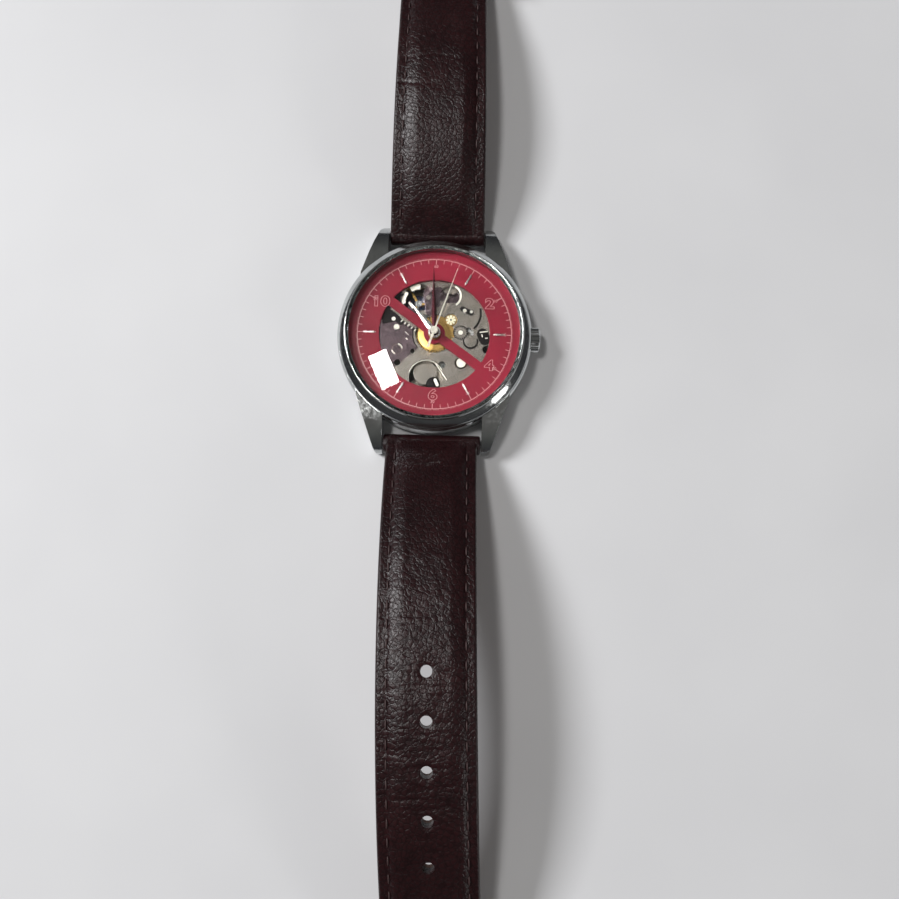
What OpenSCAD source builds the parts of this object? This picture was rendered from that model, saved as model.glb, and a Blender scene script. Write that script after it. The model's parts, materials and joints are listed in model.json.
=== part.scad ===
// Skeleton wristwatch: hand-wound centre-seconds movement under an open dial, on a two-piece leather strap.
// Origin: centre of the back glass, on the plane that the case rests on. +Z goes up through the dial,
// +Y points to 12 o'clock and +X to the crown. All sizes are in millimetres.

/* [Case] */
// Diameter of the case without crown
case_d = 35.6; // [34:0.1:38]
// Distance between the tips of the lugs
lug_to_lug = 43.2; // [42:0.1:46]
// Gap between two lugs, which is the strap width at the case
lug_gap = 18; // [17:0.5:19]
// Distance of each spring bar from the centre of the watch
bar_y = 19.9; // [19.8:0.1:20.4]
// Height of the spring bars above the back
bar_z = 3.0; // [2.8:0.1:3.3]
// Diameter of the crown
crown_d = 4.6; // [4:0.1:5]
// How far the crown pulls out for setting
crown_travel = 0.9; // [0.5:0.1:1]

/* [Dial and hands] */
// Diameter of the opening in the dial
opening_d = 20.1; // [19:0.1:21]
// Width of the bar that crosses the opening
bar_w = 1.75; // [1.2:0.05:2.4]
// Direction of the bar, from the 3 o'clock line
bar_angle = -36; // [-40:1:-28]
// Length of the hour hand from the centre
hour_len = 7.4; // [6.5:0.1:8.5]
// Length of the minute hand from the centre
minute_len = 12.6; // [11.5:0.1:13.5]
// Length of the second hand from the centre
second_len = 12.3; // [11.5:0.1:13.5]
// Direction of the hour hand, from 12 o'clock, anticlockwise
hour_turn = 39.5; // [-180:0.5:180]
// Direction of the minute hand, from 12 o'clock, anticlockwise
minute_turn = 1.9; // [-180:0.1:180]
// Direction of the second hand, from 12 o'clock, anticlockwise
second_turn = -18.8; // [-180:0.1:180]

/* [Strap] */
// Length of the strap half with the buckle, from bar to bar
upper_len = 72; // [70:1:74]
// Length of the strap half with the holes, from bar to tip
lower_len = 114; // [110:1:116]
// Width of both halves away from the lugs
strap_end_w = 16.4; // [15:0.1:17]
// Diameter of the holes for the buckle's tongue
strap_hole_d = 2.0; // [1.6:0.1:2.4]
// Distance between neighbouring holes, along the strap
hole_pitch = 7.7; // [6:0.1:8]
// Number of holes
hole_count = 7; // [5:1:7]

/* [Hidden] */
$fn = 96;

case_r = case_d / 2;
opening_r = opening_d / 2;
eps = 0.02;

// Colours
steel = [0.74, 0.75, 0.77];
nickel = [0.50, 0.48, 0.45];
brass = [0.80, 0.62, 0.28];
ruby = [0.72, 0.08, 0.20];
leather = [0.16, 0.07, 0.08];
lining = [0.30, 0.16, 0.12];
crimson = [0.60, 0.10, 0.18];

// Heights of the case parts
back_z = 1.3;
case_top = 6.4;
bezel_top = 8.6;
glass_seat = 8.2;
bore_r = 15.7;
glass_r = 15.9;
dial_z = 6.1;
dial_t = 0.3;
dial_r = 15.6;
ring_r = 12.82;

// Heights of the movement, from the back to the dial
click_z = 1.32;
click_t = 0.23;
bridge_z = 1.6;
bridge_t = 0.4;
plate_z = 3.65;
plate_top = 5.85;
pocket_z = 5.0;
plate_r = 12.8;
rim_r = 12.0;

// Gear modules and tooth counts
barrel_n = 72;
barrel_m = 0.14;
centre_pinion_n = 12;
centre_n = 64;
centre_m = 0.11;
third_pinion_n = 8;
third_n = 60;
third_m = 2 * 3.96 / 68;
fourth_pinion_n = 8;
fourth_n = 70;
fourth_m = 0.1;
escape_pinion_n = 7;
escape_n = 15;
cannon_n = 12;
minute_n = 36;
motion_m = 4 / 24;
minute_pinion_n = 10;
hour_n = 40;
hour_m = 0.16;
setting_n = 12;
ratchet_n = 36;
crown_wheel_n = 26;
winding_m = 0.24;

// Directions from one arbor to the next, and the arbor positions that follow
barrel_dir = -75;
third_dir = 40;
escape_dir = 150;
minute_dir = 43;
setting_dir = -35;
crown_wheel_dir = 33.2;
function polar(r, a) = [r * cos(a), r * sin(a)];
function centres(n1, n2, m) = m * (n1 + n2) / 2;
barrel_at = polar(centres(barrel_n, centre_pinion_n, barrel_m), barrel_dir);
third_at = polar(centres(centre_n, third_pinion_n, centre_m), third_dir);
escape_at = polar(centres(fourth_n, escape_pinion_n, fourth_m), escape_dir);
minute_at = polar(centres(cannon_n, minute_n, motion_m), minute_dir);
setting_at = minute_at + polar(centres(minute_n, setting_n, motion_m), setting_dir);
crown_wheel_at = barrel_at + polar(centres(ratchet_n, crown_wheel_n, winding_m), crown_wheel_dir);
balance_at = [-3.2, 6.6];
balance_r = 3.8;
impulse_r = 0.42;
escape_r = 2.1;
pallet_at = escape_at + [0.06, 2.46];
stem_z = 3.6;

// Phase that puts a tooth gap of the second gear opposite a tooth of the first
function mesh(dir, phase1, n1, n2) = dir + 180 + ((dir - phase1) * n1 - 180) / n2;

// Outline of a gear with straight-flanked teeth
function gear_points(n, m) = [
  for (i = [0 : n - 1], c = [[-0.29, -1.2], [-0.12, 0.9], [0.12, 0.9], [0.29, -1.2]])
    polar(m * (n / 2 + c[1]), (i + c[0]) * 360 / n)
];

module gear_shape(n, m, phase = 0) {
  rotate(phase) polygon(gear_points(n, m));
}

// Windows between the hub and the rim of a wheel, divided by straight arms
module windows(hub_r, rim_r, arms, arm_w) {
  difference() {
    circle(rim_r);
    circle(hub_r);
    for (i = [0 : arms - 1])
      rotate(i * 360 / arms) translate([0, -arm_w / 2]) square([rim_r, arm_w]);
  }
}

module tube(r_out, r_in, z0, z1) {
  translate([0, 0, z0]) linear_extrude(z1 - z0) difference() {
    circle(r_out);
    circle(r_in);
  }
}

module rod(r, z0, z1) {
  translate([0, 0, z0]) cylinder(r = r, h = z1 - z0);
}

module at(p, z = 0) {
  translate([p[0], p[1], z]) children();
}

// Flat bar with round ends between two points
module bar(p, q, w) {
  d = q - p;
  translate(p) circle(w / 2);
  translate(q) circle(w / 2);
  translate(p) rotate(atan2(d[1], d[0])) translate([0, -w / 2]) square([norm(d), w]);
}

// Flat bars from point to point, with a larger round pad at each point
module chain(points, w) {
  for (p = points) translate(p) circle(w / 2 + 0.2);
  for (i = [1 : len(points) - 1]) {
    d = points[i] - points[i - 1];
    translate(points[i - 1]) rotate(atan2(d[1], d[0])) translate([0, -w / 2]) square([norm(d), w]);
  }
}

module along_x(x0, x1, r) {
  translate([x0, 0, 0]) rotate([0, 90, 0]) cylinder(r = r, h = x1 - x0);
}

// ---- Case ----

lug_tip_w = 1.6;
lug_root_x = 13.9;
lug_y = lug_to_lug / 2;

// Plan of one lug: inner side straight, outer side running from the widest part of the case to the tip
module lug_plan() {
  polygon([
    [lug_gap / 2, 11], [lug_gap / 2, lug_y], [lug_gap / 2 + lug_tip_w * 0.7, lug_y],
    [lug_gap / 2 + lug_tip_w, lug_y - 0.6], [lug_root_x, 11.5], [lug_root_x, 9], [11, 9]
  ]);
}

// Side of the lugs: falling from the shoulder of the case to a tip near the back
module lug_side() {
  polygon([
    [9, 1.3], [15, 1.0], [lug_y - 2.4, 0.35], [lug_y - 1.0, 0.35], [lug_y, 1.2], [lug_y, 2.4],
    [lug_y - 1.2, 4.2], [lug_y - 3.6, 5.6], [15.5, 6.25], [9, 6.3]
  ]);
}

module lugs() {
  for (x = [0, 1], y = [0, 1])
    mirror([x, 0, 0]) mirror([0, y, 0]) intersection() {
      linear_extrude(8) lug_plan();
      rotate([90, 0, 90]) linear_extrude(case_r) lug_side();
    }
}

module case_middle() {
  recess_r = 2.55;
  color(steel) difference() {
    union() {
      rotate_extrude() polygon([
        [14, 0.6], [16.7, 0.6], [case_r - 0.5, 1.1], [case_r, 2.0], [case_r, 5.3], [case_r - 0.25, 5.6],
        [case_r - 0.25, case_top], [14, case_top]
      ]);
      lugs();
    }
    rod(bore_r, 0, 8);
    rod(16.4, -1, back_z);
    rod(16.3, back_z - eps, 1.6);
    translate([0, 0, stem_z]) along_x(14, 19, 1.1);
    translate([0, 0, stem_z]) along_x(case_r - 0.45, 19, recess_r);
    for (s = [-1, 1]) translate([0, s * bar_y, bar_z]) along_x(-lug_gap / 2 - 1, lug_gap / 2 + 1, 0.5);
  }
}

module bezel() {
  color(steel) rotate_extrude() polygon([
    [glass_r, case_top], [17.3, case_top], [17.5, 6.6], [17.5, 6.95], [16.5, bezel_top - 0.25],
    [16.2, bezel_top], [glass_r, bezel_top]
  ]);
}

// Radius of the arc through the edge of a dome with the given rise
function dome_r(half, rise) = (half * half + rise * rise) / (2 * rise);
function dome(half, z_edge, rise, steps) = [
  for (i = [0 : steps])
    let (r = half * i / steps, big = dome_r(half, rise)) [r, z_edge + rise - big + sqrt(big * big - r * r)]
];

module crystal() {
  edge_top = 8.95;
  inside_r = 15.1;
  steps = 16;
  outside = dome(15.6, edge_top, 1.4, steps);
  inside = dome(inside_r, glass_seat + 0.1, 1.2, steps);
  color([0.85, 0.9, 0.95, 0.25]) rotate_extrude() polygon(concat(
    inside, [[inside_r, glass_seat], [glass_r, glass_seat], [glass_r, edge_top - 0.25]],
    [for (i = [steps : -1 : 0]) outside[i]]
  ));
}

module tension_ring() {
  color(steel) rotate_extrude() polygon([
    [15.6, case_top], [glass_r, case_top], [glass_r, glass_seat], [15.4, glass_seat]
  ]);
}

module case_back() {
  notch_r = 15.6;
  color(steel) difference() {
    rotate_extrude() polygon([[13.2, 0], [16.0, 0], [16.4, 0.4], [16.4, back_z], [13.2, back_z]]);
    for (i = [0 : 5]) rotate(i * 60) translate([notch_r - 0.6, -0.75, -1]) cube([1.2, 1.5, 1.5]);
  }
}

module back_crystal() {
  color([0.85, 0.9, 0.95, 0.25]) rod(13.2, 0, 0.9);
}

module back_gasket() {
  color([0.1, 0.1, 0.1]) tube(16.25, 15.75, back_z, 1.58);
}

module movement_ring() {
  color([0.2, 0.2, 0.2]) difference() {
    tube(15.6, ring_r, 1.5, dial_z);
    translate([0, 0, stem_z]) along_x(12, 16, 1.3);
  }
}

module crown_tube() {
  color(steel) translate([0, 0, stem_z]) difference() {
    along_x(15.72, case_r - 0.4, 1.1);
    along_x(15, 19, 0.6);
  }
}

module spring_bars() {
  color(steel) for (s = [-1, 1]) translate([0, s * bar_y, bar_z]) {
    along_x(-lug_gap / 2 + 0.1, lug_gap / 2 - 0.1, 0.9);
    along_x(-lug_gap / 2 - 0.8, lug_gap / 2 + 0.8, 0.45);
  }
}

// ---- Dial ----

module dial() {
  hub_out = 1.93;
  hub_in = 1.15;
  color(crimson) translate([0, 0, dial_z]) linear_extrude(dial_t) {
    difference() {
      circle(dial_r);
      circle(opening_r);
    }
    difference() {
      union() {
        rotate(bar_angle) square([2 * opening_r + 0.6, bar_w], center = true);
        circle(hub_out);
      }
      circle(hub_in);
    }
  }
}

// Slim raised batons at the odd hours
module dial_indices() {
  inner = 10.5;
  length = 2.4;
  width = 0.36;
  color(steel) for (h = [1 : 2 : 11])
    rotate(90 - 30 * h) translate([0, 0, dial_z + dial_t]) linear_extrude(0.18)
      polygon([
        [inner, 0], [inner + 0.5, width / 2], [inner + length, width / 4],
        [inner + length, -width / 4], [inner + 0.5, -width / 2]
      ]);
}

// ---- Hands ----

hour_hand_z = 7.3;
minute_hand_z = 7.85;
second_hand_z = 8.4;
hand_t = 0.16;
cannon_r = 0.5;
hour_pipe_in = 0.56;
hour_pipe_r = 0.8;
seconds_r = 0.18;

// Lozenge hand with its widest point near the centre
module lozenge(length, width, tail) {
  polygon([[-tail, 0], [length * 0.2, width / 2], [length, 0], [length * 0.2, -width / 2]]);
}

module hand(length, width, tail, boss_r, bore, z, turn) {
  color(steel) translate([0, 0, z]) rotate(90 + turn) difference() {
    union() {
      linear_extrude(hand_t) lozenge(length, width, tail);
      rod(boss_r, 0, hand_t);
    }
    rod(bore, -1, 1);
  }
}

module hour_hand() {
  hand(hour_len, 1.5, 1.0, 1.15, hour_pipe_r, hour_hand_z, hour_turn);
}

module minute_hand() {
  hand(minute_len, 0.95, 0.9, 0.85, cannon_r, minute_hand_z, minute_turn);
}

module second_hand() {
  tail = 3.3;
  color([0.85, 0.82, 0.72]) {
    translate([0, 0, second_hand_z]) rotate(90 + second_turn) linear_extrude(hand_t) difference() {
      union() {
        polygon([[0, 0.14], [second_len, 0.05], [second_len, -0.05], [0, -0.14]]);
        polygon([[0, 0.16], [-tail, 0.22], [-tail, -0.22], [0, -0.16]]);
        translate([-1.0, 0]) circle(0.3);
        circle(0.67);
      }
      circle(seconds_r);
    }
    rod(0.67, second_hand_z + hand_t, second_hand_z + 0.35);
  }
}

// ---- Motion works under the dial ----

minute_wheel_z = 5.08;
hour_wheel_z = 5.45;
motion_t = 0.14;

module cannon_pinion() {
  phase = mesh(minute_dir + 180, 0, minute_n, cannon_n);
  color(steel) difference() {
    union() {
      translate([0, 0, minute_wheel_z - 0.03]) linear_extrude(0.25) gear_shape(cannon_n, motion_m, phase);
      rod(cannon_r, minute_wheel_z, minute_hand_z + hand_t);
    }
    rod(0.33, 4, 9);
  }
}

module minute_wheel() {
  pinion_top = 5.8;
  color(brass) at(minute_at) difference() {
    union() {
      translate([0, 0, minute_wheel_z]) linear_extrude(motion_t) gear_shape(minute_n, motion_m);
      translate([0, 0, minute_wheel_z]) linear_extrude(pinion_top - minute_wheel_z)
        gear_shape(minute_pinion_n, hour_m);
    }
    rod(0.3, 4, 7);
  }
}

module hour_wheel() {
  phase = mesh(minute_dir + 180, 0, minute_pinion_n, hour_n);
  color(brass) difference() {
    union() {
      translate([0, 0, hour_wheel_z]) linear_extrude(motion_t) gear_shape(hour_n, hour_m, phase);
      rod(hour_pipe_r, hour_wheel_z, hour_hand_z + hand_t);
    }
    rod(hour_pipe_in, 4, 9);
  }
}

module setting_wheel() {
  phase = mesh(setting_dir, 0, minute_n, setting_n);
  color(steel) at(setting_at) difference() {
    translate([0, 0, minute_wheel_z]) linear_extrude(motion_t) gear_shape(setting_n, motion_m, phase);
    rod(0.4, 4, 7);
  }
}

// ---- Plate and bridges ----

click_at = barrel_at + polar(5.9, -140);
lever_at = [10.3, 3.4];
yoke_at = [7.2, 4.7];
yoke_tip = [8.25, 1.5];
stem_groove_x = 11.3;

// The pocket in the plate's dial side that holds the motion works and the setting parts
module pocket_plan() {
  circle(3.45);
  translate(minute_at) circle(3.3);
  translate(setting_at) circle(1.45);
  bar([8.4, 4.6], [10.6, 2.6], 3.6);
  bar([8.6, 0], [9.2, 3.4], 3.4);
}

module mainplate() {
  works_x = 6.9;
  works_len = 4.05;
  works_w = 4.3;
  pinion_slot_x = 9.3;
  pinion_slot_len = 1.4;
  pinion_slot_w = 2.8;
  color(nickel) difference() {
    union() {
      rod(plate_r, plate_z, plate_top);
      tube(plate_r, rim_r, bridge_z + bridge_t, plate_z);
      for (a = [40, 172, -115, -52, 104]) at(polar(11.6, a)) rod(0.8, bridge_z + bridge_t, plate_z);
    }
    translate([0, 0, pocket_z]) linear_extrude(2) pocket_plan();
    rod(0.38, 3, 6);
    // Sight openings
    at([-2.9, 6.1]) rod(3.3, 3, 6);
    at([2.6, 7.3]) rod(1.85, 3, 6);
    at([-1.3, -8.1]) rod(3.1, 3, 6);
    at([5.0, -5.2]) rod(1.2, 3, 6);
    at([9.5, -2.6]) rod(0.75, 3, 6);
    at([-3.9, -3.2]) rod(0.42, 3, 6);
    at([-6.6, -5.4]) rod(0.6, 3, 6);
    // Arbors, jewels and screws
    at(barrel_at) rod(0.65, 3, 6);
    at(third_at) rod(0.45, 3, 4.1);
    at(escape_at) rod(0.45, 3, 4.1);
    at(pallet_at) rod(0.45, 3, 4.1);
    at([-6.7, -2.9]) rod(1.0, 5.4, 6);
    at([-6.9, 1.2]) rod(0.6, 5.4, 6);
    // Winding stem with its two pinions
    translate([works_x, -works_w / 2, 1.9]) cube([works_len, works_w, pocket_z - 1.88]);
    translate([0, 0, stem_z]) along_x(6, 13, 0.55);
    translate([pinion_slot_x, -pinion_slot_w / 2, plate_z - 0.5]) cube([pinion_slot_len, pinion_slot_w, 3]);
    // Room for the setting lever's arm and stud to swing as the crown is pulled
    translate([stem_groove_x - 0.7, -0.45, pocket_z]) cube([0.9 + crown_travel, 2.05, 2]);
    translate([stem_groove_x - 0.27, -0.27, stem_z]) cube([0.46 + crown_travel, 0.9, 3]);
  }
}

// Skeleton bridges are chains of flat bars on the back of the plate
module train_bridge() {
  color(nickel) translate([0, 0, bridge_z]) linear_extrude(bridge_t) difference() {
    chain([polar(11.6, 40), third_at, [0, 0], escape_at, polar(11.6, 172)], 1.9);
    for (p = [third_at, [0, 0], escape_at]) translate(p) circle(0.45);
    for (a = [40, 172]) translate(polar(11.6, a)) circle(0.35);
  }
}

module barrel_bridge() {
  end_c = polar(11.6, -52);
  end_d = polar(11.6, -115);
  color(nickel) translate([0, 0, bridge_z]) linear_extrude(bridge_t) difference() {
    union() {
      bar(end_d, barrel_at, 3.0);
      bar(barrel_at, end_c, 3.0);
      bar(barrel_at, crown_wheel_at, 2.4);
      bar(crown_wheel_at, end_c, 1.9);
      bar(barrel_at, click_at, 2.0);
    }
    difference() {
      circle(2 * plate_r);
      circle(plate_r);
    }
    translate(barrel_at) circle(0.75);
    translate(click_at) circle(0.25);
    translate(crown_wheel_at) circle(0.25);
    translate(end_c) circle(0.35);
    translate(end_d) circle(0.35);
  }
}

module balance_cock() {
  foot = polar(11.6, 104);
  color(nickel) translate([0, 0, bridge_z]) linear_extrude(bridge_t) difference() {
    bar(foot, balance_at, 2.2);
    translate(balance_at) circle(0.55);
    translate(foot) circle(0.35);
  }
}

module pallet_cock() {
  end_a = pallet_at + [-2.1, -0.2];
  end_b = pallet_at + [1.9, 0.5];
  color(nickel) difference() {
    union() {
      translate([0, 0, 3.2]) linear_extrude(0.25) bar(end_a, end_b, 0.9);
      at(end_a) rod(0.45, 3.2, plate_z);
      at(end_b) rod(0.45, 3.2, plate_z);
    }
    at(pallet_at) rod(0.12, 3, 4);
  }
}

// Plate over the setting parts, cut away round the hour wheel and the minute wheel's pinion
module keyless_cover() {
  color(nickel) translate([0, 0, 5.62]) linear_extrude(0.22) difference() {
    intersection() {
      pocket_plan();
      circle(11.4);
    }
    circle(3.6);
    translate(minute_at) circle(1.15);
    translate(setting_at) circle(0.9);
    translate([stem_groove_x, 0]) circle(0.9);
  }
}

module regulator() {
  color(steel) translate([0, 0, 1.3]) linear_extrude(0.2) difference() {
    union() {
      translate(balance_at) circle(1.15);
      bar(balance_at, balance_at + polar(3.0, 20), 0.4);
    }
    translate(balance_at) circle(0.55);
  }
}

// Pivot jewels in the bridge, the cock and the plate
module jewel(p, z0, z1) {
  at(p) tube(0.45, 0.1, z0, z1);
}

module jewels() {
  plate_jewel_top = 4.1;
  color(ruby) {
    for (p = [third_at, [0, 0], escape_at]) jewel(p, bridge_z, bridge_z + bridge_t);
    for (p = [third_at, escape_at, pallet_at]) jewel(p, plate_z, plate_jewel_top);
    at(balance_at) tube(0.55, 0.1, bridge_z, bridge_z + bridge_t);
  }
}

module screw(p, head_r, head_z, tip_z) {
  at(p) difference() {
    union() {
      rod(head_r, head_z, bridge_z);
      rod(0.35, bridge_z, tip_z);
    }
    translate([-head_r, -0.09, head_z - 1]) cube([2 * head_r, 0.18, 1.1]);
  }
}

module bridge_screws() {
  color([0.2, 0.25, 0.45]) {
    for (a = [40, 172, -52, -115, 104]) screw(polar(11.6, a), 0.75, 1.35, 2.0);
    at(crown_wheel_at) rod(0.7, 1.1, click_z - eps);
    at(crown_wheel_at) rod(0.25, click_z - eps, bridge_z + bridge_t);
  }
}

module click_spring() {
  foot = polar(10.2, -98);
  color(steel) translate([0, 0, click_z]) linear_extrude(click_t) {
    bar(foot, click_at + [0.9, -0.75], 0.22);
    translate(foot) circle(0.5);
  }
}

// ---- Barrel and going train ----

barrel_teeth_z = 2.5;
drum_top = 3.3;
third_z = 2.26;
fourth_z = 2.06;
centre_z = 3.4;
escape_z = 2.9;
wheel_t = 0.12;
pivot_r = 0.08;

module barrel_drum() {
  drum_r = 4.72;
  wall = 0.2;
  color(brass) at(barrel_at) difference() {
    union() {
      translate([0, 0, barrel_teeth_z]) linear_extrude(0.22) gear_shape(barrel_n, barrel_m);
      rod(drum_r, barrel_teeth_z, drum_top);
    }
    rod(drum_r - wall, barrel_teeth_z + 0.15, drum_top + 1);
    rod(0.75, 2, 4);
  }
}

module barrel_cover() {
  color(brass) at(barrel_at) tube(4.5, 0.75, drum_top - 0.14, drum_top);
}

// The coiled mainspring as evenly spaced turns
module mainspring() {
  turns = 9;
  first = 1.3;
  pitch = 0.34;
  color([0.55, 0.58, 0.62]) at(barrel_at) for (i = [0 : turns - 1])
    tube(first + i * pitch + 0.1, first + i * pitch, barrel_teeth_z + 0.2, drum_top - 0.2);
}

module barrel_arbor() {
  color(steel) at(barrel_at) {
    rod(1.1, barrel_teeth_z + 0.2, drum_top - 0.2);
    rod(0.7, bridge_z - 0.05, drum_top - 0.2);
    rod(0.6, drum_top - 0.2, 5.2);
    rod(0.55, click_z - 0.02, bridge_z);
    rod(0.95, 1.08, click_z - 0.02);
  }
}

module ratchet_wheel() {
  color(steel) at(barrel_at, click_z) linear_extrude(click_t) difference() {
    gear_shape(ratchet_n, winding_m);
    circle(0.55);
  }
}

module crown_wheel() {
  phase = mesh(crown_wheel_dir, 0, ratchet_n, crown_wheel_n);
  color(steel) at(crown_wheel_at, click_z) linear_extrude(click_t) difference() {
    gear_shape(crown_wheel_n, winding_m, phase);
    circle(0.3);
  }
}

module click() {
  tip = barrel_at + polar(winding_m * (ratchet_n / 2 + 0.9) + 0.04, -128);
  color(steel) translate([0, 0, click_z]) linear_extrude(click_t) difference() {
    union() {
      translate(click_at) circle(0.55);
      bar(click_at, tip + polar(0.2, -128), 0.36);
    }
    translate(click_at) circle(0.28);
  }
}

module centre_wheel() {
  phase = mesh(barrel_dir + 180, 0, barrel_n, centre_pinion_n);
  color(brass) difference() {
    union() {
      translate([0, 0, centre_z]) linear_extrude(wheel_t) difference() {
        gear_shape(centre_n, centre_m);
        windows(1.2, 3.0, 4, 0.45);
      }
      translate([0, 0, 2.5]) linear_extrude(centre_z - 2.5) gear_shape(centre_pinion_n, barrel_m, phase);
      rod(0.33, centre_z, 5.9);
    }
    rod(0.24, 2, 7);
  }
}

module third_wheel() {
  phase = mesh(third_dir, 0, centre_n, third_pinion_n);
  color(brass) at(third_at) {
    translate([0, 0, third_z]) linear_extrude(wheel_t) difference() {
      gear_shape(third_n, third_m);
      windows(0.9, 3.0, 4, 0.4);
    }
    rod(0.2, 2.02, 3.3);
    translate([0, 0, 3.3]) linear_extrude(0.3) gear_shape(third_pinion_n, centre_m, phase);
    rod(pivot_r, bridge_z + 0.1, 4.0);
  }
}

module fourth_wheel() {
  phase = mesh(third_dir + 180, 0, third_n, fourth_pinion_n);
  color(brass) {
    translate([0, 0, fourth_z]) linear_extrude(wheel_t) difference() {
      gear_shape(fourth_n, fourth_m);
      windows(0.8, 2.9, 4, 0.4);
    }
    translate([0, 0, fourth_z + wheel_t]) linear_extrude(0.24) gear_shape(fourth_pinion_n, third_m, phase);
    rod(seconds_r, 2.02, second_hand_z + hand_t);
    rod(pivot_r, bridge_z + 0.1, 2.1);
  }
}

// Escape wheel with fifteen hooked teeth
module escape_wheel() {
  phase = mesh(escape_dir, 0, fourth_n, escape_pinion_n);
  root = 1.62;
  color(steel) at(escape_at) {
    translate([0, 0, escape_z]) linear_extrude(wheel_t) difference() {
      polygon([
        for (i = [0 : escape_n - 1], c = [[0, root], [0.16, escape_r], [0.34, escape_r - 0.06], [0.3, root]])
          polar(c[1], (i + c[0]) * 360 / escape_n)
      ]);
      windows(0.6, 1.35, 4, 0.3);
    }
    translate([0, 0, 2.02]) linear_extrude(0.24) gear_shape(escape_pinion_n, fourth_m, phase);
    rod(0.15, 2.1, 3.55);
    rod(pivot_r, bridge_z + 0.1, 4.0);
  }
}

// ---- Escapement ----

module pallet_fork() {
  fork_tip = pallet_at + (balance_at - pallet_at) * 0.8;
  color(steel) {
    translate([0, 0, escape_z]) linear_extrude(wheel_t) difference() {
      union() {
        bar(pallet_at + [-1.15, -0.35], pallet_at, 0.5);
        bar(pallet_at + [1.15, -0.35], pallet_at, 0.5);
        bar(pallet_at, fork_tip, 0.3);
        translate(fork_tip) circle(0.28);
      }
      translate(balance_at - [0, impulse_r]) circle(0.13);
      translate(balance_at - [0.13, impulse_r]) square([0.26, 0.4]);
    }
    at(pallet_at) rod(0.1, 2.75, 3.62);
    at(pallet_at) rod(pivot_r, 3.6, 4.0);
  }
}

module pallet_stones() {
  color(ruby) for (s = [-1, 1])
    at(pallet_at + [s * 1.25, -0.42], escape_z + wheel_t) rotate(s * 22) translate([-0.15, -0.3, 0])
      cube([0.3, 0.5, 0.12]);
}

balance_z = 2.42;

module balance_wheel() {
  color(brass) at(balance_at) {
    translate([0, 0, balance_z]) linear_extrude(0.28) difference() {
      circle(balance_r);
      windows(0.55, balance_r - 0.5, 3, 0.45);
      circle(0.3);
    }
  }
}

module balance_staff() {
  color(steel) at(balance_at) {
    rod(0.3, 2.05, 2.75);
    rod(0.6, 2.74, 2.86);
    rod(pivot_r, bridge_z + 0.1, 3.5);
    translate([0, -impulse_r, 0]) rod(0.07, 2.85, 2.96);
  }
}

module hairspring() {
  turns = 8;
  first = 0.5;
  pitch = 0.17;
  color([0.35, 0.4, 0.6]) at(balance_at) for (i = [0 : turns - 1])
    tube(first + i * pitch + 0.05, first + i * pitch, 2.1, 2.26);
}

// ---- Crown and setting parts ----

crown_x = case_r - 0.35;
crown_len = 2.0;

module crown() {
  flutes = 26;
  groove = 0.14;
  crown_r = crown_d / 2;
  color(steel) translate([crown_x, 0, stem_z]) rotate([0, 90, 0]) difference() {
    intersection() {
      linear_extrude(crown_len) polygon([
        for (i = [0 : 2 * flutes - 1]) polar(crown_r - (i % 2) * groove, i * 180 / flutes)
      ]);
      rotate_extrude() polygon([
        [0, 0], [crown_r - 0.25, 0], [crown_r, 0.25], [crown_r, crown_len - 0.45],
        [crown_r - 0.3, crown_len - 0.12], [crown_r - 0.9, crown_len], [0, crown_len]
      ]);
    }
    rod(0.45, -1, 1.0);
  }
}

module winding_stem() {
  color(steel) translate([0, 0, stem_z]) difference() {
    along_x(7.0, crown_x + 1.0, 0.45);
    difference() {
      along_x(stem_groove_x - 0.3, stem_groove_x + 0.3, 1);
      along_x(stem_groove_x - 1, stem_groove_x + 1, 0.27);
    }
  }
}

// Pinion with teeth on its rim, its axis along X
module stem_pinion(x0, length, r, n) {
  translate([x0, 0, stem_z]) rotate([0, 90, 0]) linear_extrude(length) difference() {
    gear_shape(n, 2 * r / (n + 2));
    circle(0.5);
  }
}

module sliding_pinion() {
  color(steel) {
    stem_pinion(7.85, 0.45, 1.38, 12);
    stem_pinion(8.65, 0.45, 1.38, 12);
    translate([0, 0, stem_z]) difference() {
      along_x(8.25, 8.7, 0.9);
      along_x(8, 9, 0.5);
    }
  }
}

module winding_pinion() {
  color(steel) stem_pinion(9.7, 0.8, 1.9, 13);
}

module setting_lever() {
  color(steel) difference() {
    union() {
      translate([0, 0, 5.3]) linear_extrude(0.25) {
        bar(lever_at, [stem_groove_x, 0], 0.6);
        translate(lever_at) circle(0.7);
      }
      at([stem_groove_x, 0]) rod(0.2, stem_z + 0.35, 5.4);
    }
    at(lever_at) rod(0.25, 5, 6);
  }
}

module yoke() {
  color(steel) difference() {
    translate([0, 0, 5.3]) linear_extrude(0.25) {
      bar(yoke_at, yoke_tip, 0.5);
      bar(yoke_tip, [8.47, 0.3], 0.3);
      translate(yoke_at) circle(0.6);
    }
    at(yoke_at) rod(0.25, 5, 6);
  }
}

// ---- Strap ----

strap_gap = 0.2;
loop_r = 1.75;
strap_step = 1.5;
lining_t = 0.9;
// Slope of the strap's middle surface against its length, and the strap's thickness against its length
upper_slope = [[0, 31.7], [45, -18.5], [60, -18.5], [upper_len, -3]];
lower_slope = [[0, 35.5], [78, -23.5], [92, -23.5], [lower_len, 0]];
strap_thickness = [[0, 3.3], [25, 3.1], [60, 2.5], [120, 2.4]];

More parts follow.
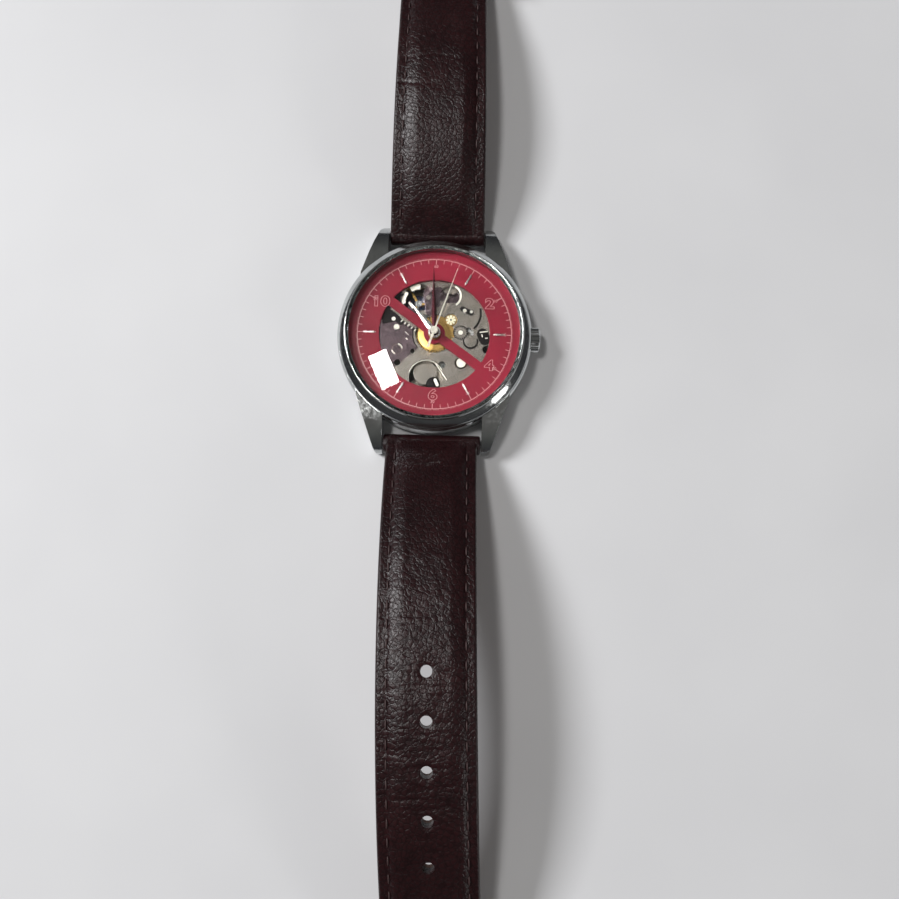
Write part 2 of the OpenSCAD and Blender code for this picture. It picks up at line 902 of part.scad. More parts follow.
// Points [distance along the ground, height, slope] of the middle surface, one for each step of length
function strap_line(slope, length) =
  let (count = ceil(length / strap_step), step = length / count) [
    for (i = 0, p = [0, bar_z]; i <= count;
         p = p + step * [cos(lookup(i * step, slope)), sin(lookup(i * step, slope))], i = i + 1)
      [p[0], p[1], lookup(i * step, slope), i * step]
  ];
function strap_point(slope, length, s) =
  let (line = strap_line(slope, length), k = s / length * (len(line) - 1), i = min(floor(k), len(line) - 2))
    line[i] + (line[i + 1] - line[i]) * (k - i);
function offset_point(p, d) = [p[0] - d * sin(p[2]), p[1] + d * cos(p[2])];

// Side view of one layer, between two offsets given as shares of the thickness and a fixed distance
function layer(line, share, shift) = [
  for (p = line) offset_point(p, share * lookup(p[3], strap_thickness) + shift)
];

module strap_profile(line, from_bottom, to_top) {
  low = from_bottom ? layer(line, -0.5, 0) : layer(line, -0.5, lining_t);
  high = to_top ? layer(line, 0.5, 0) : layer(line, -0.5, lining_t);
  polygon(concat(low, [for (i = [len(high) - 1 : -1 : 0]) high[i]]));
}

module side_extrude(width) {
  rotate([90, 0, 90]) translate([0, 0, -width / 2]) linear_extrude(width) children();
}

// Sideways lie of the long half, which curves gently as it rests on the table
function sway(d) = 0.00036 * d * d;

// Plan of a strap half, tapering over the first stretch: square and straight, or round-ended and swaying
taper_len = 38;
module strap_plan(length, round_end) {
  near = lug_gap / 2 - strap_gap;
  far = strap_end_w / 2;
  bend = length - far;
  ys = [0, 20, taper_len, 55, 70, 85];
  half = [[0, near], [taper_len, far], [200, far]];
  if (round_end)
    polygon(concat(
      [[near, -5]], [for (y = ys) [sway(y) + lookup(y, half), y]],
      [for (a = [0 : 10 : 180]) [sway(bend) + far * cos(a), bend + far * sin(a)]],
      [for (i = [len(ys) - 1 : -1 : 0]) [sway(ys[i]) - lookup(ys[i], half), ys[i]]], [[-near, -5]]
    ));
  else
    polygon([[-far, taper_len], [-near, -5], [near, -5], [far, taper_len], [far, length + 5], [-far, length + 5]]);
}

module strap_half(slope, length, from, from_bottom, to_top, round_end = false) {
  line = strap_line(slope, length);
  used = [for (p = line) if (p[3] >= from) p];
  intersection() {
    side_extrude(lug_gap) strap_profile(used, from_bottom, to_top);
    linear_extrude(60) strap_plan(line[len(line) - 1][0], round_end);
  }
}

module tongue_slot(length) {
  end = strap_point(upper_slope, upper_len, upper_len);
  translate([-1.5, end[0] - length, -5]) cube([3, length + 5, 12]);
}

buckle_end = strap_point(upper_slope, upper_len, upper_len);
buckle_y = bar_y + buckle_end[0];
buckle_z = buckle_end[1];
bar_hole_r = 0.75;
end_loop_r = 1.3;

module strap_upper() {
  color(leather) translate([0, bar_y, 0]) difference() {
    union() {
      strap_half(upper_slope, upper_len, 0, false, true);
      translate([0, 0, bar_z]) along_x(-lug_gap / 2 + strap_gap, lug_gap / 2 - strap_gap, loop_r);
      translate([0, buckle_end[0], buckle_end[1]]) along_x(-strap_end_w / 2, strap_end_w / 2, end_loop_r);
    }
    translate([0, 0, bar_z]) along_x(-10, 10, 0.95);
    translate([0, buckle_end[0], buckle_end[1]]) along_x(-10, 10, bar_hole_r);
    tongue_slot(4.4);
  }
}

module strap_upper_lining() {
  color(lining) translate([0, bar_y, 0]) difference() {
    strap_half(upper_slope, upper_len - 2, 3, true, false);
    tongue_slot(4.4);
  }
}

module strap_holes() {
  first_hole = 42.5;
  for (i = [0 : hole_count - 1]) {
    p = strap_point(lower_slope, lower_len, first_hole + i * hole_pitch);
    translate([sway(p[0]), p[0], p[1]]) rotate([p[2], 0, 0]) cylinder(d = strap_hole_d, h = 8, center = true);
  }
}

module strap_lower() {
  color(leather) mirror([0, 1, 0]) translate([0, bar_y, 0]) difference() {
    union() {
      strap_half(lower_slope, lower_len, 0, false, true, true);
      translate([0, 0, bar_z]) along_x(-lug_gap / 2 + strap_gap, lug_gap / 2 - strap_gap, loop_r);
    }
    translate([0, 0, bar_z]) along_x(-10, 10, 0.95);
    strap_holes();
  }
}

module strap_lower_lining() {
  color(lining) mirror([0, 1, 0]) translate([0, bar_y, 0]) difference() {
    strap_half(lower_slope, lower_len, 3, true, false, true);
    strap_holes();
  }
}

// Leather loop round the strap
keeper_t = 0.9;
module keeper(s, length, room, sink) {
  p = strap_point(upper_slope, upper_len, s);
  half_t = lookup(s, strap_thickness) / 2;
  inside_w = strap_end_w + 0.5;
  low = -half_t - room + sink;
  high = half_t + 2.6;
  color(leather) translate([0, bar_y + p[0], p[1]]) rotate([p[2], 0, 0])
    translate([0, length / 2, 0]) rotate([90, 0, 0]) linear_extrude(length) difference() {
      translate([-inside_w / 2 - keeper_t, low - keeper_t])
        square([inside_w + 2 * keeper_t, high - low + 2 * keeper_t]);
      translate([-inside_w / 2, low]) square([inside_w, high - low]);
    }
}

module fixed_keeper() {
  keeper(65, 4.0, 0, 0.12);
}

module free_keeper() {
  keeper(57.5, 4.5, 0.2, 0);
}

// ---- Buckle ----

frame_len = 12.5;
frame_w = 21.5;
frame_in_w = 17.2;
frame_t = 1.7;

module buckle_frame() {
  front = 2.4;
  color(steel) translate([0, buckle_y, buckle_z]) difference() {
    union() {
      translate([0, 0, -frame_t / 2]) linear_extrude(frame_t) difference() {
        union() {
          translate([-frame_w / 2, -1.2]) square([frame_w, frame_len - 1.8]);
          translate([-frame_w / 2 + 3, -1.2]) square([frame_w - 6, frame_len + 1.2]);
          for (s = [-1, 1]) translate([s * (frame_w / 2 - 3), frame_len - 3]) circle(3);
        }
        translate([-frame_in_w / 2, -2]) square([frame_in_w, frame_len - front + 2]);
      }
      for (s = [-1, 1]) translate([s * (frame_in_w + frame_w) / 4, 0, 0])
        along_x(-(frame_w - frame_in_w) / 4, (frame_w - frame_in_w) / 4, 1.2);
    }
    along_x(-20, 20, 0.6);
    // Shallow seat for the tip of the tongue
    translate([-1.1, frame_len - front - 1, frame_t / 2 - 0.3]) cube([2.2, front + 2, 2]);
  }
}

module buckle_bar() {
  color(steel) translate([0, buckle_y, buckle_z]) {
    along_x(-frame_w / 2 + 0.5, frame_w / 2 - 0.5, 0.6);
    along_x(-frame_in_w / 2, frame_in_w / 2, bar_hole_r - 0.05);
  }
}

module buckle_tongue() {
  reach = frame_len + 0.6;
  color(steel) translate([0, buckle_y, buckle_z]) difference() {
    union() {
      along_x(-1.0, 1.0, 1.25);
      translate([-0.75, 0, 0.6]) cube([1.5, reach, 0.62]);
    }
    along_x(-2, 2, bar_hole_r);
  }
}

case_middle();
bezel();
crystal();
tension_ring();
case_back();
back_crystal();
back_gasket();
movement_ring();
crown_tube();
spring_bars();
dial();
dial_indices();
mainplate();
train_bridge();
barrel_bridge();
balance_cock();
pallet_cock();
keyless_cover();
click_spring();
regulator();
jewels();
bridge_screws();
crown();
winding_stem();
sliding_pinion();
winding_pinion();
setting_lever();
yoke();
crown_wheel();
ratchet_wheel();
barrel_arbor();
click();
barrel_drum();
barrel_cover();
mainspring();
centre_wheel();
cannon_pinion();
minute_hand();
third_wheel();
fourth_wheel();
second_hand();
escape_wheel();
pallet_fork();
pallet_stones();
balance_wheel();
balance_staff();
hairspring();
minute_wheel();
hour_wheel();
hour_hand();
setting_wheel();
strap_upper();
strap_upper_lining();
fixed_keeper();
free_keeper();
strap_lower();
strap_lower_lining();
buckle_frame();
buckle_tongue();
buckle_bar();
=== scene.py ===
"""Looks of a skeleton wristwatch, built in millimetre-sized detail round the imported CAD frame."""
import json
import math
import random

import bmesh
import bpy
import numpy as np
from mathutils import Matrix, Quaternion, Vector, noise


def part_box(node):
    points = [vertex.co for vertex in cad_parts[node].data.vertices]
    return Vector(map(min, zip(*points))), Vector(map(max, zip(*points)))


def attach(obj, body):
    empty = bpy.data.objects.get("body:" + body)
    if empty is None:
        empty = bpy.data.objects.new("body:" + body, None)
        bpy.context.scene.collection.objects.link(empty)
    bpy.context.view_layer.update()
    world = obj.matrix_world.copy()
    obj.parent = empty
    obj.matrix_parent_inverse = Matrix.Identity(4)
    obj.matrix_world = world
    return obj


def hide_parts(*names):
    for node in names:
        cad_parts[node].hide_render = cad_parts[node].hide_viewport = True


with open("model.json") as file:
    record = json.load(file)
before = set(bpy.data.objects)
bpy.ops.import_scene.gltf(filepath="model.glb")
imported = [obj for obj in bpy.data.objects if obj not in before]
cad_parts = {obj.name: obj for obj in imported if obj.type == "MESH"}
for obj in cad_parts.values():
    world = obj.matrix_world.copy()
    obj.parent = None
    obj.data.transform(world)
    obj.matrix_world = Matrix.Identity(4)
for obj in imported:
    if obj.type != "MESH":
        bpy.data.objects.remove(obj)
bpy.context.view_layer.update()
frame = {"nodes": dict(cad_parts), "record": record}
NODES = frame["nodes"]
MM = 0.001

# ---------------------------------------------------------------- materials


def new_node(tree, kind, settings=None, **inputs):
    """Adds a shader node. Inputs go by name, or as i0, i1 and so on by number."""
    node = tree.nodes.new(kind)
    for key, value in (settings or {}).items():
        setattr(node, key, value)
    for key, value in inputs.items():
        numbered = key[0] == "i" and key[1:].isdigit()
        socket = node.inputs[int(key[1:]) if numbered else key.replace("_", " ")]
        if isinstance(value, bpy.types.NodeSocket):
            tree.links.new(value, socket)
        else:
            socket.default_value = value
    return node


def new_material(name, color, metallic=0.0, roughness=0.4, **sockets):
    """A Principled material. Returns it with its tree and shader node."""
    material = bpy.data.materials.new(name)
    material.use_nodes = True
    tree = material.node_tree
    shader = tree.nodes["Principled BSDF"]
    shader.inputs["Base Color"].default_value = (*color, 1)
    shader.inputs["Metallic"].default_value = metallic
    shader.inputs["Roughness"].default_value = roughness
    for key, value in sockets.items():
        shader.inputs[key.replace("_", " ")].default_value = value
    return material, tree, shader


def object_coords(tree, scale=(1, 1, 1)):
    """Object coordinates in millimetres, stretched by scale."""
    coords = new_node(tree, "ShaderNodeTexCoord").outputs["Object"]
    factor = tuple(k / MM for k in scale)
    node = new_node(tree, "ShaderNodeVectorMath", {"operation": "MULTIPLY"}, i0=coords, i1=factor)
    return node.outputs[0]


def ramp(tree, value, stops):
    """A colour ramp with (position, colour) stops."""
    node = new_node(tree, "ShaderNodeValToRGB", Fac=value)
    points = node.color_ramp.elements
    while len(points) < len(stops):
        points.new(0.5)
    for point, (place, color) in zip(points, stops):
        point.position = place
        point.color = (*color, 1) if len(color) == 3 else color
    return node.outputs["Color"]


def grey(value):
    return (value, value, value)


def texture_noise(tree, coords, scale, detail=3.0, roughness=0.5):
    inputs = {"Vector": coords, "Scale": scale, "Detail": detail, "Roughness": roughness}
    return new_node(tree, "ShaderNodeTexNoise", **inputs)


def add_bump(tree, shader, height, strength, distance):
    """Chains a bump in front of what the shader's normal already has."""
    depth = distance * MM
    bump = new_node(tree, "ShaderNodeBump", Height=height, Strength=strength, Distance=depth)
    normal = shader.inputs["Normal"]
    if normal.is_linked:
        tree.links.new(normal.links[0].from_socket, bump.inputs["Normal"])
    tree.links.new(bump.outputs["Normal"], normal)


def metal(name, color, roughness, grain=(1, 1, 1), grain_scale=6.0, spread=0.06, bump=0.05):
    """Metal with fine grain that varies its gloss and tilts its surface."""
    material, tree, shader = new_material(name, color, 1.0, roughness)
    coords = object_coords(tree, grain)
    fine = texture_noise(tree, coords, grain_scale, 4.0, 0.6).outputs["Fac"]
    low, high = max(0.02, roughness - spread), roughness + spread
    gloss = ramp(tree, fine, [(0.3, grey(low)), (0.7, grey(high))])
    tree.links.new(gloss, shader.inputs["Roughness"])
    broad = texture_noise(tree, object_coords(tree), 0.35, 2.0).outputs["Fac"]
    dark = tuple(c * 0.86 for c in color)
    tree.links.new(ramp(tree, broad, [(0.35, dark), (0.65, color)]), shader.inputs["Base Color"])
    if bump:
        add_bump(tree, shader, fine, bump, 0.01)
    return material


def leather(name, dark, light, gloss, grain=1.15):
    """Pebbled leather: cells with creases between them, pores, and worn lighter patches."""
    material, tree, shader = new_material(name, dark, 0.0, gloss, Specular_IOR_Level=0.3)
    coords = object_coords(tree)
    wobble = texture_noise(tree, coords, 1.3, 3.0)
    by_wobble = {"i0": wobble.outputs["Color"], "Scale": 0.55}
    shift = new_node(tree, "ShaderNodeVectorMath", {"operation": "SCALE"}, **by_wobble)
    moved = new_node(tree, "ShaderNodeVectorMath", i0=coords, i1=shift.outputs[0]).outputs[0]
    to_edge = {"feature": "DISTANCE_TO_EDGE"}
    cells = new_node(tree, "ShaderNodeTexVoronoi", to_edge, Vector=moved, Scale=grain)
    crease_to_top = [(0.0, grey(0.0)), (0.16, grey(0.8)), (0.42, grey(1.0))]
    pebbles = ramp(tree, cells.outputs["Distance"], crease_to_top)
    nearest = {"feature": "F1"}
    small = new_node(tree, "ShaderNodeTexVoronoi", nearest, Vector=moved, Scale=grain * 3.1)
    pores = texture_noise(tree, coords, 7.5, 3.0, 0.65).outputs["Fac"]
    patches = texture_noise(tree, coords, 0.16, 4.0, 0.6).outputs["Fac"]
    tone = ramp(tree, patches, [(0.32, dark), (0.72, light)])
    # The base colour is darkened in the creases between cells: painted shade.
    crease_shaded_tone = new_node(
        tree, "ShaderNodeMixRGB", {"blend_type": "MULTIPLY"}, Fac=0.55, Color1=tone, Color2=pebbles
    ).outputs["Color"]
    tree.links.new(crease_shaded_tone, shader.inputs["Base Color"])
    rough = ramp(tree, pores, [(0.3, grey(gloss - 0.07)), (0.75, grey(gloss + 0.14))])
    tree.links.new(rough, shader.inputs["Roughness"])
    add_bump(tree, shader, pebbles, 0.55, 0.07)
    add_bump(tree, shader, small.outputs["Distance"], 0.35, 0.05)
    add_bump(tree, shader, pores, 0.25, 0.03)
    return material


def lacquer():
    """Deep red dial lacquer with a soft gloss."""
    deep, bright = (0.108, 0.0025, 0.010), (0.150, 0.0036, 0.0145)
    soft = {"Specular_IOR_Level": 0.15}
    material, tree, shader = new_material("dial_lacquer", bright, 0.0, 0.42, **soft)
    coords = object_coords(tree)
    broad = texture_noise(tree, coords, 0.09, 2.0).outputs["Fac"]
    fine = texture_noise(tree, coords, 14.0, 2.0).outputs["Fac"]
    tree.links.new(ramp(tree, broad, [(0.3, deep), (0.7, bright)]), shader.inputs["Base Color"])
    gloss = ramp(tree, fine, [(0.3, grey(0.33)), (0.7, grey(0.43))])
    tree.links.new(gloss, shader.inputs["Roughness"])
    add_bump(tree, shader, fine, 0.06, 0.01)
    return material


def clear_glass(name, tint):
    """Glass that lets lamp light through to what is behind it."""
    material = bpy.data.materials.new(name)
    material.use_nodes = True
    tree = material.node_tree
    tree.nodes.clear()
    coords = object_coords(tree)
    smear = texture_noise(tree, coords, 0.12, 3.0).outputs["Fac"]
    rough = ramp(tree, smear, [(0.45, grey(0.0)), (0.75, grey(0.02))])
    glass = new_node(tree, "ShaderNodeBsdfGlass", Color=(*tint, 1), Roughness=rough, IOR=1.45)
    open_way = new_node(tree, "ShaderNodeBsdfTransparent", Color=(*tint, 1))
    path = new_node(tree, "ShaderNodeLightPath").outputs["Is Shadow Ray"]
    shaders = {"i1": glass.outputs[0], "i2": open_way.outputs[0]}
    mix = new_node(tree, "ShaderNodeMixShader", i0=path, **shaders)
    new_node(tree, "ShaderNodeOutputMaterial", Surface=mix.outputs[0])
    return material


def paint(name, color, roughness=0.5, **sockets):
    """Thin paint or plastic with a slightly uneven tone."""
    material, tree, shader = new_material(name, color, 0.0, roughness, **sockets)
    fleck = texture_noise(tree, object_coords(tree), 5.0, 3.0).outputs["Fac"]
    dark = tuple(c * 0.8 for c in color)
    tree.links.new(ramp(tree, fleck, [(0.35, dark), (0.7, color)]), shader.inputs["Base Color"])
    add_bump(tree, shader, fleck, 0.1, 0.02)
    return material


def tabletop():
    """Matt white table with a faint mottle."""
    material, tree, shader = new_material("table_white", (0.8, 0.8, 0.82), 0.0, 0.6)
    mottle = texture_noise(tree, object_coords(tree), 0.02, 3.0).outputs["Fac"]
    tone = ramp(tree, mottle, [(0.3, (0.60, 0.598, 0.612)), (0.7, (0.64, 0.638, 0.65))])
    tree.links.new(tone, shader.inputs["Base Color"])
    return material


M = {
    "steel": metal(
        "polished_steel", (0.62, 0.64, 0.64), 0.13, grain_scale=1.6, spread=0.07, bump=0.05
    ),
    "satin": metal("satin_steel", (0.60, 0.60, 0.61), 0.28, grain=(6, 1, 1), grain_scale=3.0),
    "nickel": metal(
        "grained_nickel", (0.62, 0.565, 0.51), 0.20, grain=(0.6, 7, 1), grain_scale=2.2, bump=0.04
    ),
    # Darkened violet metal: a painted reflection of dark surroundings in the plates.
    "reflection_violet": metal("painted_reflection_violet_plate", (0.27, 0.20, 0.225), 0.2, grain_scale=2.0, bump=0.03),
    # Near-black paint for thin patches where the movement shows dark gaps: painted shade.
    "recess": paint("painted_shade_black", (0.005, 0.0035, 0.004), 0.6, Specular_IOR_Level=0.08),
    "bright": metal(
        "frosted_silver", (0.78, 0.74, 0.66), 0.40, grain_scale=7.0, spread=0.05, bump=0.03
    ),
    "brass": metal("gilt_brass", (0.58, 0.37, 0.12), 0.30, grain_scale=8.0),
    "pale_brass": metal("pale_gilt_steel", (0.93, 0.88, 0.66), 0.40, grain_scale=8.0),
    "blued": metal("blued_steel", (0.05, 0.09, 0.30), 0.18),
    "dark_steel": metal("spring_steel", (0.42, 0.42, 0.44), 0.22),
    "hand": metal(
        "polished_hand", (0.84, 0.82, 0.79), 0.28, grain_scale=3.0, spread=0.03, bump=0.0
    ),
    # Near-black burgundy on a polished hand: a painted reflection of dark surroundings.
    "reflection_dark_hand": metal(
        "painted_reflection_burgundy_hand", (0.075, 0.018, 0.024), 0.24, grain_scale=3.0, spread=0.03, bump=0.0
    ),
    "seconds": metal("pale_seconds_hand", (0.80, 0.76, 0.66), 0.30, spread=0.05),
    "lacquer": lacquer(),
    "glass": clear_glass("domed_glass", (0.985, 0.99, 0.985)),
    "print": paint("dial_print", (0.40, 0.20, 0.205), 0.35),
    "ruby": paint("ruby", (0.55, 0.01, 0.06), 0.08, Coat_Weight=1.0),
    "rubber": paint("gasket_rubber", (0.02, 0.02, 0.02), 0.7),
    "ring": paint("holder_plastic", (0.05, 0.05, 0.05), 0.5),
    "leather": leather(
        "burgundy_leather", (0.013, 0.0028, 0.0036), (0.021, 0.0050, 0.0058), 0.33
    ),
    "lining": leather("lining_leather", (0.10, 0.045, 0.03), (0.17, 0.085, 0.06), 0.62, grain=2.4),
    "thread": paint("strap_thread", (0.045, 0.020, 0.020), 0.6),
}

# ---------------------------------------------------------------- mesh helpers


def new_piece(name, verts, faces, material, body, *nodes, slot=None, smooth=True):
    """A piece made of vertices and faces, which rides on a body and stands for CAD nodes."""
    mesh = bpy.data.meshes.new(name)
    mesh.from_pydata([tuple(v) for v in verts], [], faces)
    mesh.validate()
    mesh.polygons.foreach_set("use_smooth", [smooth] * len(mesh.polygons))
    return link_piece(name, mesh, material, body, *nodes, slot=slot)


def link_piece(name, mesh, material, body, *nodes, slot=None):
    """A piece made of a ready mesh, which rides on a body and stands for CAD nodes."""
    piece = bpy.data.objects.new(name, mesh)
    bpy.context.scene.collection.objects.link(piece)
    mesh.materials.clear()
    mesh.materials.append(material)
    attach(piece, body)
    if nodes:
        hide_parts(*nodes)
    return piece


def body_of(node):
    """The body that the record gives a CAD node."""
    bodies = frame["record"]["behaviour"]["bodies"]
    return next(body for body, members in bodies.items() if node in members)


def slot_of(node):
    """The material slot that the record gives a CAD node."""
    return next(s["material_slot"] for s in frame["record"]["subparts"] if s["node"] == node)


def final_mesh(item):
    """A mesh of an object as its modifiers leave it."""
    bpy.context.view_layer.update()
    evaluated = item.evaluated_get(bpy.context.evaluated_depsgraph_get())
    return bpy.data.meshes.new_from_object(evaluated)


ROUNDED_ANGLE = 32
WELD, FLAT_ANGLE = 2e-6, 0.6


def round_edges(piece, width, segments=2):
    """Adds a bevel, with its width in millimetres, to a piece's sharp edges."""
    bevel = piece.modifiers.new("round_edges", "BEVEL")
    bevel.width = width * MM
    bevel.segments = segments
    bevel.limit_method = "ANGLE"
    return bevel


def refined(node, material, width, segments=2):
    """The CAD shape again with its sharp edges rounded, so that they catch the light."""
    mesh = NODES[node].data.copy()
    work = bmesh.new()
    work.from_mesh(mesh)
    bmesh.ops.remove_doubles(work, verts=work.verts, dist=WELD)
    flat = math.radians(FLAT_ANGLE)
    bmesh.ops.dissolve_limit(work, angle_limit=flat, verts=work.verts, edges=work.edges)
    work.to_mesh(mesh)
    work.free()
    mesh.polygons.foreach_set("use_smooth", [True] * len(mesh.polygons))
    name = node + "_finished"
    piece = link_piece(name, mesh, material, body_of(node), node, slot=slot_of(node))
    bevel = round_edges(piece, width, segments)
    bevel.angle_limit = math.radians(ROUNDED_ANGLE)
    bevel.miter_outer = "MITER_ARC"
    bevel.use_clamp_overlap = True
    shading = piece.modifiers.new("even_shading", "WEIGHTED_NORMAL")
    shading.keep_sharp = True


def lathe(profile, count):
    """Vertices and faces of a closed profile of (radius, height) points turned round Z."""
    rows = len(profile)
    verts = []
    for i in range(count):
        a = 2 * math.pi * i / count
        verts += [(r * math.cos(a) * MM, r * math.sin(a) * MM, z * MM) for r, z in profile]
    faces = []
    for i in range(count):
        j = (i + 1) % count
        for k in range(rows):
            n = (k + 1) % rows
            faces.append((i * rows + k, j * rows + k, j * rows + n, i * rows + n))
    return verts, faces


def arc(cx, cy, r, start, end, steps):
    """Points of an arc, with angles in degrees."""
    out = []
    for i in range(steps + 1):
        a = math.radians(start + (end - start) * i / steps)
        out.append((cx + r * math.cos(a), cy + r * math.sin(a)))
    return out


def join_meshes(parts):
    """One vertex and face list out of several."""
    verts, faces = [], []
    for part_verts, part_faces in parts:
        base = len(verts)
        verts += list(part_verts)
        faces += [tuple(i + base for i in face) for face in part_faces]
    return verts, faces


def prism(outline, z0, z1):
    """A closed flat plate: an outline in millimetres raised from z0 to z1."""
    n = len(outline)
    verts = [(x * MM, y * MM, z * MM) for z in (z0, z1) for x, y in outline]
    faces = [tuple(range(n - 1, -1, -1)), tuple(range(n, 2 * n))]
    faces += [(i, (i + 1) % n, n + (i + 1) % n, n + i) for i in range(n)]
    return verts, faces


def turned(points, angle):
    """Points turned round the origin by an angle in degrees."""
    c, s = math.cos(math.radians(angle)), math.sin(math.radians(angle))
    return [(c * x - s * y, s * x + c * y) for x, y in points]


# ---------------------------------------------------------------- case, crown and glass

CASE_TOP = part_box("case_middle")[1].z / MM
GLASS_LOW, GLASS_HIGH = (corner.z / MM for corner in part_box("crystal"))
GLASS_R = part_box("crystal")[1].x / MM


def make_crystal():
    """Domed glass with true curved faces and a polished chamfer."""
    inside_r, edge_top, inner_edge = 15.1, GLASS_LOW + 0.75, GLASS_LOW + 0.1
    rim_r = GLASS_R - 0.3

    def dome(half, edge, rise, steps):
        big = (half * half + rise * rise) / (2 * rise)
        radii = [half * math.sin(math.pi / 2 * i / steps) for i in range(steps + 1)]
        return [(r, edge + rise - big + math.sqrt(big * big - r * r)) for r in radii]

    inner = dome(inside_r, inner_edge, 1.2, 24)
    outer = dome(rim_r, edge_top, GLASS_HIGH - edge_top, 28)
    inner[0] = (0.002, inner[0][1])
    outer[0] = (0.002, outer[0][1])
    profile = inner + [(inside_r, GLASS_LOW), (GLASS_R, GLASS_LOW), (GLASS_R, edge_top - 0.25)]
    profile += outer[::-1]
    verts, faces = lathe(profile, 192)
    slot = slot_of("crystal")
    piece = new_piece("crystal_dome", verts, faces, M["glass"], "case", "crystal", slot=slot)
    sharp_by_angle(piece, 40)


def make_bezel():
    """Polished sloping bezel with a narrow raised lip round the glass."""
    lip_z = CASE_TOP + 1.9
    profile = [(GLASS_R, CASE_TOP), (17.42, CASE_TOP), (17.5, CASE_TOP + 0.08)]
    profile += arc(17.38, CASE_TOP + 0.52, 0.12, 0, 45, 4)
    profile += arc(11.076, CASE_TOP - 5.714, 9.0, 45, 54, 12)[1:]
    profile += [(16.31, CASE_TOP + 1.62)] + arc(16.1, lip_z, 0.2, 0, 110, 8)
    profile += [(GLASS_R, lip_z + 0.12)]
    verts, faces = lathe(profile, 192)
    slot = slot_of("bezel")
    piece = new_piece("bezel_polished", verts, faces, M["steel"], "case", "bezel", slot=slot)
    sharp_by_angle(piece, 30)


def sharp_by_angle(piece, degrees):
    """Keeps edges steeper than the angle crisp."""
    work = bmesh.new()
    work.from_mesh(piece.data)
    bmesh.ops.recalc_face_normals(work, faces=work.faces)
    limit = math.radians(degrees)
    for edge in work.edges:
        edge.smooth = not (len(edge.link_faces) == 2 and edge.calc_face_angle(0) > limit)
    work.to_mesh(piece.data)
    work.free()


make_crystal()
make_bezel()
for node, width in (("case_middle", 0.16), ("tension_ring", 0.05), ("case_back", 0.1)):
    refined(node, M["steel"], width, 3)
refined("crown", M["steel"], 0.05)
refined("buckle_frame", M["steel"], 0.35, 4)
refined("buckle_tongue", M["steel"], 0.25, 3)
for node in ("buckle_bar", "spring_bars", "crown_tube"):
    refined(node, M["satin"], 0.06)

# ---------------------------------------------------------------- dial

DIAL_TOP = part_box("dial")[1].z / MM
PRINT_T = 0.025
refined("dial", M["lacquer"], 0.07, 3)
refined("dial_indices", M["hand"], 0.05, 2)


def bar_mark(hour_angle, inner, outer, width):
    """Outline of a radial mark, its angle clockwise from 12 in degrees."""
    points = [(-width / 2, inner), (width / 2, inner), (width / 2, outer), (-width / 2, outer)]
    return turned(points, -hour_angle)


def make_dial_track():
    """Minute circle with its ticks, and the fine marks between them."""
    track_r = 13.95
    low, high = DIAL_TOP, DIAL_TOP + PRINT_T
    inside, outside = track_r - 0.05, track_r + 0.05
    parts = [lathe([(inside, low), (outside, low), (outside, high), (inside, high)], 240)]
    for minute in range(60):
        length, width = (0.75, 0.08) if minute % 5 else (0.95, 0.11)
        parts.append(prism(bar_mark(minute * 6, track_r - length, track_r, width), low, high))
    for fifth in range(300):
        if fifth % 5:
            parts.append(prism(bar_mark(fifth * 1.2, track_r, track_r + 0.28, 0.045), low, high))
    verts, faces = join_meshes(parts)
    look = {"slot": "hand_steel", "smooth": False}
    new_piece("dial_minute_track", verts, faces, M["print"], "case", **look)


HOUR_FIGURE, MINUTE_FIGURE = 1.9, 0.55
FAR_FIGURE_R, NEAR_FIGURE_R, MINUTE_FIGURE_R = 11.6, 11.45, 12.62
FONT_TO_FIGURE = 1.38


def make_numeral(text, angle, radius, height, outline, stretch=1.0):
    """A number on the dial, upright, drawn as an outline or as a solid figure."""
    curve = bpy.data.curves.new("numeral_" + text, "FONT")
    curve.body = text
    curve.align_x, curve.align_y = "CENTER", "CENTER"
    curve.size = height * FONT_TO_FIGURE * MM
    curve.resolution_u = 6
    if outline:
        curve.offset = 0.085 * MM
        curve.fill_mode = "NONE"
        curve.bevel_depth = 0.035 * MM
        curve.bevel_resolution = 1
    else:
        curve.extrude = PRINT_T * MM / 2
    source = bpy.data.objects.new("numeral_source", curve)
    bpy.context.scene.collection.objects.link(source)
    mesh = final_mesh(source)
    bpy.data.objects.remove(source)
    a = math.radians(90 - angle)
    place = Vector((radius * math.cos(a), radius * math.sin(a), DIAL_TOP + PRINT_T / 2)) * MM
    mesh.transform(Matrix.Translation(place) @ Matrix.Diagonal((stretch, 1, 1, 1)))
    return mesh


def make_numerals():
    """Outlined even hours, and small solid minutes round the edge."""
    work = bmesh.new()
    for hour in (2, 4, 6, 8, 10):
        radius = NEAR_FIGURE_R if hour % 4 else FAR_FIGURE_R
        work.from_mesh(make_numeral(str(hour), hour * 30, radius, HOUR_FIGURE, True, 1.25))
    for minute in range(5, 65, 5):
        mesh = make_numeral(str(minute), minute * 6, MINUTE_FIGURE_R, MINUTE_FIGURE, False)
        work.from_mesh(mesh)
    mesh = bpy.data.meshes.new("dial_numerals")
    work.to_mesh(mesh)
    work.free()
    link_piece("dial_numerals", mesh, M["print"], "case", slot="hand_steel")


make_dial_track()
make_numerals()

# ---------------------------------------------------------------- hands


FACET_TILT, BLADE_EDGE, WIDEST_AT = 9.6, 0.06, 0.2


